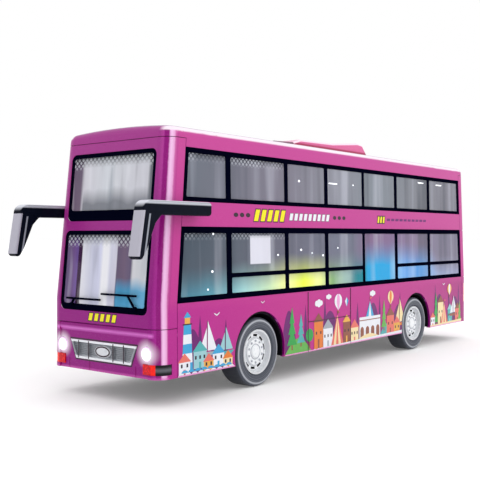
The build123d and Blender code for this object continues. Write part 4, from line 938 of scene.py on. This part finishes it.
# Belt marks: dots, slanted bars and dashes between the two rows of windows
WALL_LEAN = 0.019
BELT_ZONE = ((PRINT_FRONT, PRINT_REAR), (BELT_Z / MM, BELT_TOP_Z / MM))
BELT_DOTS = (36.3, 39.5, 42.7, 96.6, 100.0, 103.4)
BELT_DOT_Z = 58.2
# Start, foot, top, count, pitch, width, lean, ink and dark edge of each row of slanted bars
BELT_BARS = ((45.8, 56.3, 60.2, 5, 3.7, 2.3, 1.3, "yellow", 0.35),
             (66.4, 56.8, 59.3, 9, 3.0, 1.9, 0.7, "white", 0.15),
             (130.0, 56.7, 59.3, 3, 2.2, 1.3, 0.5, "yellow", 0.4),
             (138.0, 57.6, 58.6, 10, 3.8, 2.8, 0.2, "plum", 0.0))
NOSE_BARS = (-6.3, 24.6, 26.9, 5, 2.7, 1.6, 0.6, "yellow", 0.3)


def wall_x(z):
    """The side wall's X at a height above the sills."""
    return SIDE_X - WALL_LEAN * (z - SILL_Z)


def slanted_bars(start, foot, top, count, pitch, w, lean, ink, edge):
    """A row of slanted bars, each on a dark outline where there is an edge."""
    shapes = []
    for i in range(count):
        for colour, grow in (("dark", edge), (ink, 0.0)):
            if grow or colour == ink:
                left, right = start + i * pitch - grow, start + i * pitch + w + grow
                shapes.append((colour, [(left, foot - grow), (right, foot - grow), (right + lean, top + grow),
                                        (left + lean, top + grow)]))
    return shapes


belt_marks = [("dark", ring(station, BELT_DOT_Z, 1.2, steps=14, squash=0.62)[:-1]) for station in BELT_DOTS]
for row in BELT_BARS:
    belt_marks += slanted_bars(*row)
for sign, side in ((1, "left"), (-1, "right")):
    print_piece(f"belt_marks_{side}", belt_marks, sign, "coachwork", BELT_ZONE, wall_x)

# Slanted bars on the nose below the lower windscreen
nose_verts, nose_faces, nose_picks = [], [], []
for layer, (ink, outline) in enumerate(slanted_bars(*NOSE_BARS)):
    nose_faces.append(list(range(len(nose_verts), len(nose_verts) + len(outline))))
    nose_verts += [(x * MM, FRONT_Y - PRINT_LIFT - layer * LAYER_LIFT, z * MM) for x, z in outline]
    nose_picks.append(["yellow", "dark"].index(ink))
add_piece("nose_marks", nose_verts, nose_faces, (INKS["yellow"], INKS["dark"]), "coachwork",
          picks=nose_picks)


# Small shapes, as points and faces


def skin(rings, closed=False):
    """Quads from each ring of points to the next, and from the last to the first where closed."""
    turns = len(rings[0])
    faces = []
    for i in range(len(rings) if closed else len(rings) - 1):
        here, there = i * turns, (i + 1) % len(rings) * turns
        for j in range(turns):
            after = (j + 1) % turns
            faces.append((here + j, here + after, there + after, there + j))
    return [point for points in rings for point in points], faces


def merged(parts):
    """Several (points, faces) as one."""
    all_verts, all_faces = [], []
    for verts, faces in parts:
        all_faces += [tuple(len(all_verts) + index for index in face) for face in faces]
        all_verts += verts
    return all_verts, all_faces


def circle(count, turn=0.0):
    """The angles of points spaced evenly round a circle."""
    return [turn + 2 * math.pi * i / count for i in range(count)]


def bead(centre, radius, length, rings=6, turns=12):
    """A round or long bead about a centre; its long way is Y."""
    x, y, z = centre
    outlines = []
    for i in range(rings + 1):
        tilt = math.pi * i / rings
        shift = 0.0 if tilt == math.pi / 2 else math.copysign(length / 2, math.cos(tilt))
        outlines.append([(x + radius * math.sin(tilt) * math.cos(turn), y + radius * math.cos(tilt) + shift,
                          z + radius * math.sin(tilt) * math.sin(turn)) for turn in circle(turns)])
    return skin(outlines)


def stud(centre, radius, x0, x1, turn, sides=6, tip=0.8):
    """A many-sided stud along X with a chamfered tip."""
    y, z = centre
    levels = ((x0, radius), (x0 + (x1 - x0) * 0.7, radius), (x1, radius * tip))
    verts, faces = skin([[(x, y + r * math.cos(angle), z + r * math.sin(angle))
                          for angle in circle(sides, turn)] for x, r in levels])
    return verts, faces + [tuple(range(2 * sides, 3 * sides))]


def torus(centre, radius, section, x, turns=40, around=8):
    """A ring about an axle."""
    y, z = centre
    return skin([[(x + section * math.sin(tilt), y + (radius + section * math.cos(tilt)) * math.cos(angle),
                   z + (radius + section * math.cos(tilt)) * math.sin(angle)) for tilt in circle(around)]
                 for angle in circle(turns)], closed=True)


def glowing(name, colour, strength):
    """A surface that glows, with a fine grain of white."""
    look = Look(name, Roughness=0.3)
    look.colour = look.blend(look.noise(3000.0), colour, rgb(255, 255, 255))
    look.glow(strength)
    return look.finish()


# Small interior lights in the left panes: station, height, radius and length
LIGHTS = [(25.1, 51.9, 0.34, 0), (24.4, 40.0, 0.42, 0), (22.2, 34.4, 0.34, 0), (59.7, 44.6, 0.36, 0),
          (74.0, 46.2, 0.42, 0), (81.2, 44.9, 0.3, 0), (88.5, 43.9, 0.4, 0), (99.1, 46.6, 0.32, 0),
          (73.3, 71.2, 0.45, 0), (96.3, 71.4, 0.24, 5.6), (111.2, 71.5, 0.34, 0), (171.0, 75.4, 0.24, 5.0),
          (189.8, 75.2, 0.24, 5.6)]
LIGHT_INSET = 0.42 * MM
beads = [bead((wall_x(height * MM) - LIGHT_INSET, at(station), height * MM), radius * MM, length * MM)
         for station, height, radius, length in LIGHTS]
add_piece("pane_lights", *merged(beads), [glowing("pane_light", rgb(240, 246, 255), 1.2)], "coachwork",
          "lamp_clear")


# Wheel bolts and hub rings
BOLT_COUNT = 10
BOLT_RING = 3.7 * MM
BOLT_R = 0.42 * MM
BOLT_PROUD = 0.35 * MM
BOLT_SUNK = 0.1 * MM
DISC_FACE = TYRE_X - 1.3 * MM
# Radius and section of each raised ring, and how far it is sunk into the disc
HUB_RINGS = ((2.55 * MM, 0.16 * MM, 0.0), (4.55 * MM, 0.12 * MM, 0.05 * MM))


def wheel_trim(axle, sign, side):
    """Bolts and two raised rings on one wheel."""
    centre = (AXLES[axle].y, AXLES[axle].z)
    parts = []
    for i in range(BOLT_COUNT):
        angle = 2 * math.pi * (i + 0.5) / BOLT_COUNT
        place = (centre[0] + BOLT_RING * math.cos(angle), centre[1] + BOLT_RING * math.sin(angle))
        parts.append(stud(place, BOLT_R, DISC_FACE - BOLT_SUNK, DISC_FACE + BOLT_PROUD, angle))
    parts += [torus(centre, radius, section, DISC_FACE - sunk) for radius, section, sunk in HUB_RINGS]
    verts, faces = merged(parts)
    add_piece(f"wheel_bolts_{axle}_{side}", [(sign * x, y, z) for x, y, z in verts],
              faces if sign > 0 else [face[::-1] for face in faces], [BOLT_SILVER], f"{axle}_axle_set",
              "wheel_silver")


for axle in AXLES:
    for sign, side in ((1, "left"), (-1, "right")):
        wheel_trim(axle, sign, side)


# Grille trims on the set-back nose panel
grille_low, grille_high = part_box("grille")
oval_low, oval_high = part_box("grille_oval")
PANEL_Y = grille_low.y + 0.2 * MM
GRILLE_TAPER = 2.6 * MM
SURROUND = (0.15 * MM, 0.55 * MM)
# Growth of the oval's ring across and up, for its inner and its outer edge
OVAL_RING = ((-0.75 * MM, -0.6 * MM), (-0.15 * MM, -0.12 * MM))
BAR_PLACES = (-11.4 * MM, -6.6 * MM, 4.8 * MM, 9.5 * MM)
BAR_HALF = 0.22 * MM
BAR_INSET = 0.15 * MM


def trapezoid(grow):
    """The grille's outline, grown, as (x, z) from its lower left."""
    top = grille_high.x + grow
    bottom = grille_high.x - GRILLE_TAPER + grow * 0.7
    low, high = grille_low.z - grow, grille_high.z + grow
    return [(-bottom, low), (bottom, low), (top, high), (-top, high)]


def ellipse(across, up, steps=28):
    """The oval boss's outline, grown across and up."""
    half_width, half_height = oval_high.x + across, (oval_high.z - oval_low.z) / 2 + up
    return [(half_width * math.cos(turn), (oval_low.z + oval_high.z) / 2 + half_height * math.sin(turn))
            for turn in circle(steps)]


def nose_trim(name, inner, outer, y):
    """A flat dark band between two outlines of as many points, or one filled outline."""
    count = len(inner)
    faces = [(i, (i + 1) % count, count + (i + 1) % count, count + i) for i in range(count)]
    add_piece(name, [(x, y - PRINT_LIFT, z) for x, z in inner + outer],
              faces if outer else [list(range(count))], [INKS["dark"]], "coachwork", "grille_chrome")


nose_trim("grille_oval_ring", *(ellipse(*growth) for growth in OVAL_RING), oval_low.y)
for count, x in enumerate(BAR_PLACES):
    line = bar(x - BAR_HALF, x + BAR_HALF, grille_low.z + BAR_INSET, grille_high.z - BAR_INSET)
    nose_trim(f"grille_bar_line_{count}", line, [], grille_low.y)
nose_trim("grille_surround", *map(trapezoid, SURROUND), PANEL_Y)


# Floor, light and camera
FLOOR_REACH = 6.0
FLOOR_WHITE = 0.93
FLOOR_GLOW = 0.14
DOME = (0.5, 1.4)
LAMP_PLACE = Vector((0.8, 0.35, 0.6))
LAMP_TARGET = Vector((0, 0, 0.045))
LAMP_SIZE = 0.5
LAMP_POWER = 1.6
CAMERA_PLACE = Vector((0.19189, -0.273026, 0.051435))
CAMERA_TURN = math.radians(38.838)
CAMERA_TILT = math.radians(-0.324)
CAMERA_LENS = 60.69
SENSOR_WIDTH = 36.0


def seen_share(tree):
    """One for camera, glossy and transmission rays, and nought for any other."""
    rays = add(tree, "LightPath").outputs
    kinds = ("Camera", "Glossy", "Transmission")
    direct, glossy, through = (Value(rays[f"Is {kind} Ray"]) for kind in kinds)
    return direct.larger(glossy.larger(through))


def aimed(name, data, place, direction):
    """A lamp or camera linked to the scene at a place, looking along a direction."""
    thing = bpy.data.objects.new(name, data)
    thing.location = place
    thing.rotation_euler = direction.to_track_quat("-Z", "Y").to_euler()
    bpy.context.scene.collection.objects.link(thing)
    return thing


floor_mesh = bpy.data.meshes.new("floor")
floor_mesh.from_pydata([(x, y, 0) for x, y in bar(-FLOOR_REACH, FLOOR_REACH, -FLOOR_REACH, FLOOR_REACH)], [],
                       [(0, 1, 2, 3)])
floor = bpy.data.objects.new("floor", floor_mesh)
bpy.context.scene.collection.objects.link(floor)
floor_look = Look("floor_white", Roughness=0.7, Specular_IOR_Level=0.1)
floor_look.colour = (FLOOR_WHITE, FLOOR_WHITE, FLOOR_WHITE, 1)
floor_look.set(Emission_Color=(1, 1, 1, 1), Emission_Strength=seen_share(floor_look.tree) * FLOOR_GLOW)
floor_mesh.materials.append(floor_look.finish())

world = bpy.data.worlds.new("studio")
bpy.context.scene.world = world
world.use_nodes = True
sky = world.node_tree
background = sky.nodes["Background"].inputs
dome = split(sky, "Generated")[2].stretch(0.0, 1.0, *DOME)
put(background["Strength"], out(sky, "Mix", {0: seen_share(sky), 2: dome, 3: 1.0}))
put(background["Color"], (1, 1, 1, 1))

softbox = bpy.data.lights.new("side_softbox", "AREA")
softbox.shape = "RECTANGLE"
softbox.size, softbox.size_y = LAMP_SIZE, LAMP_SIZE
softbox.energy = LAMP_POWER
aimed("side_softbox", softbox, LAMP_PLACE, LAMP_TARGET - LAMP_PLACE)

camera_data = bpy.data.cameras.new("photo_camera")
camera_data.lens = CAMERA_LENS
camera_data.sensor_width = SENSOR_WIDTH
camera_data.clip_start = 0.01
ahead = Vector((-math.sin(CAMERA_TURN) * math.cos(CAMERA_TILT), math.cos(CAMERA_TURN) * math.cos(CAMERA_TILT),
                math.sin(CAMERA_TILT)))
bpy.context.scene.camera = aimed("photo_camera", camera_data, CAMERA_PLACE, ahead)
bpy.context.scene.view_settings.view_transform = "Standard"
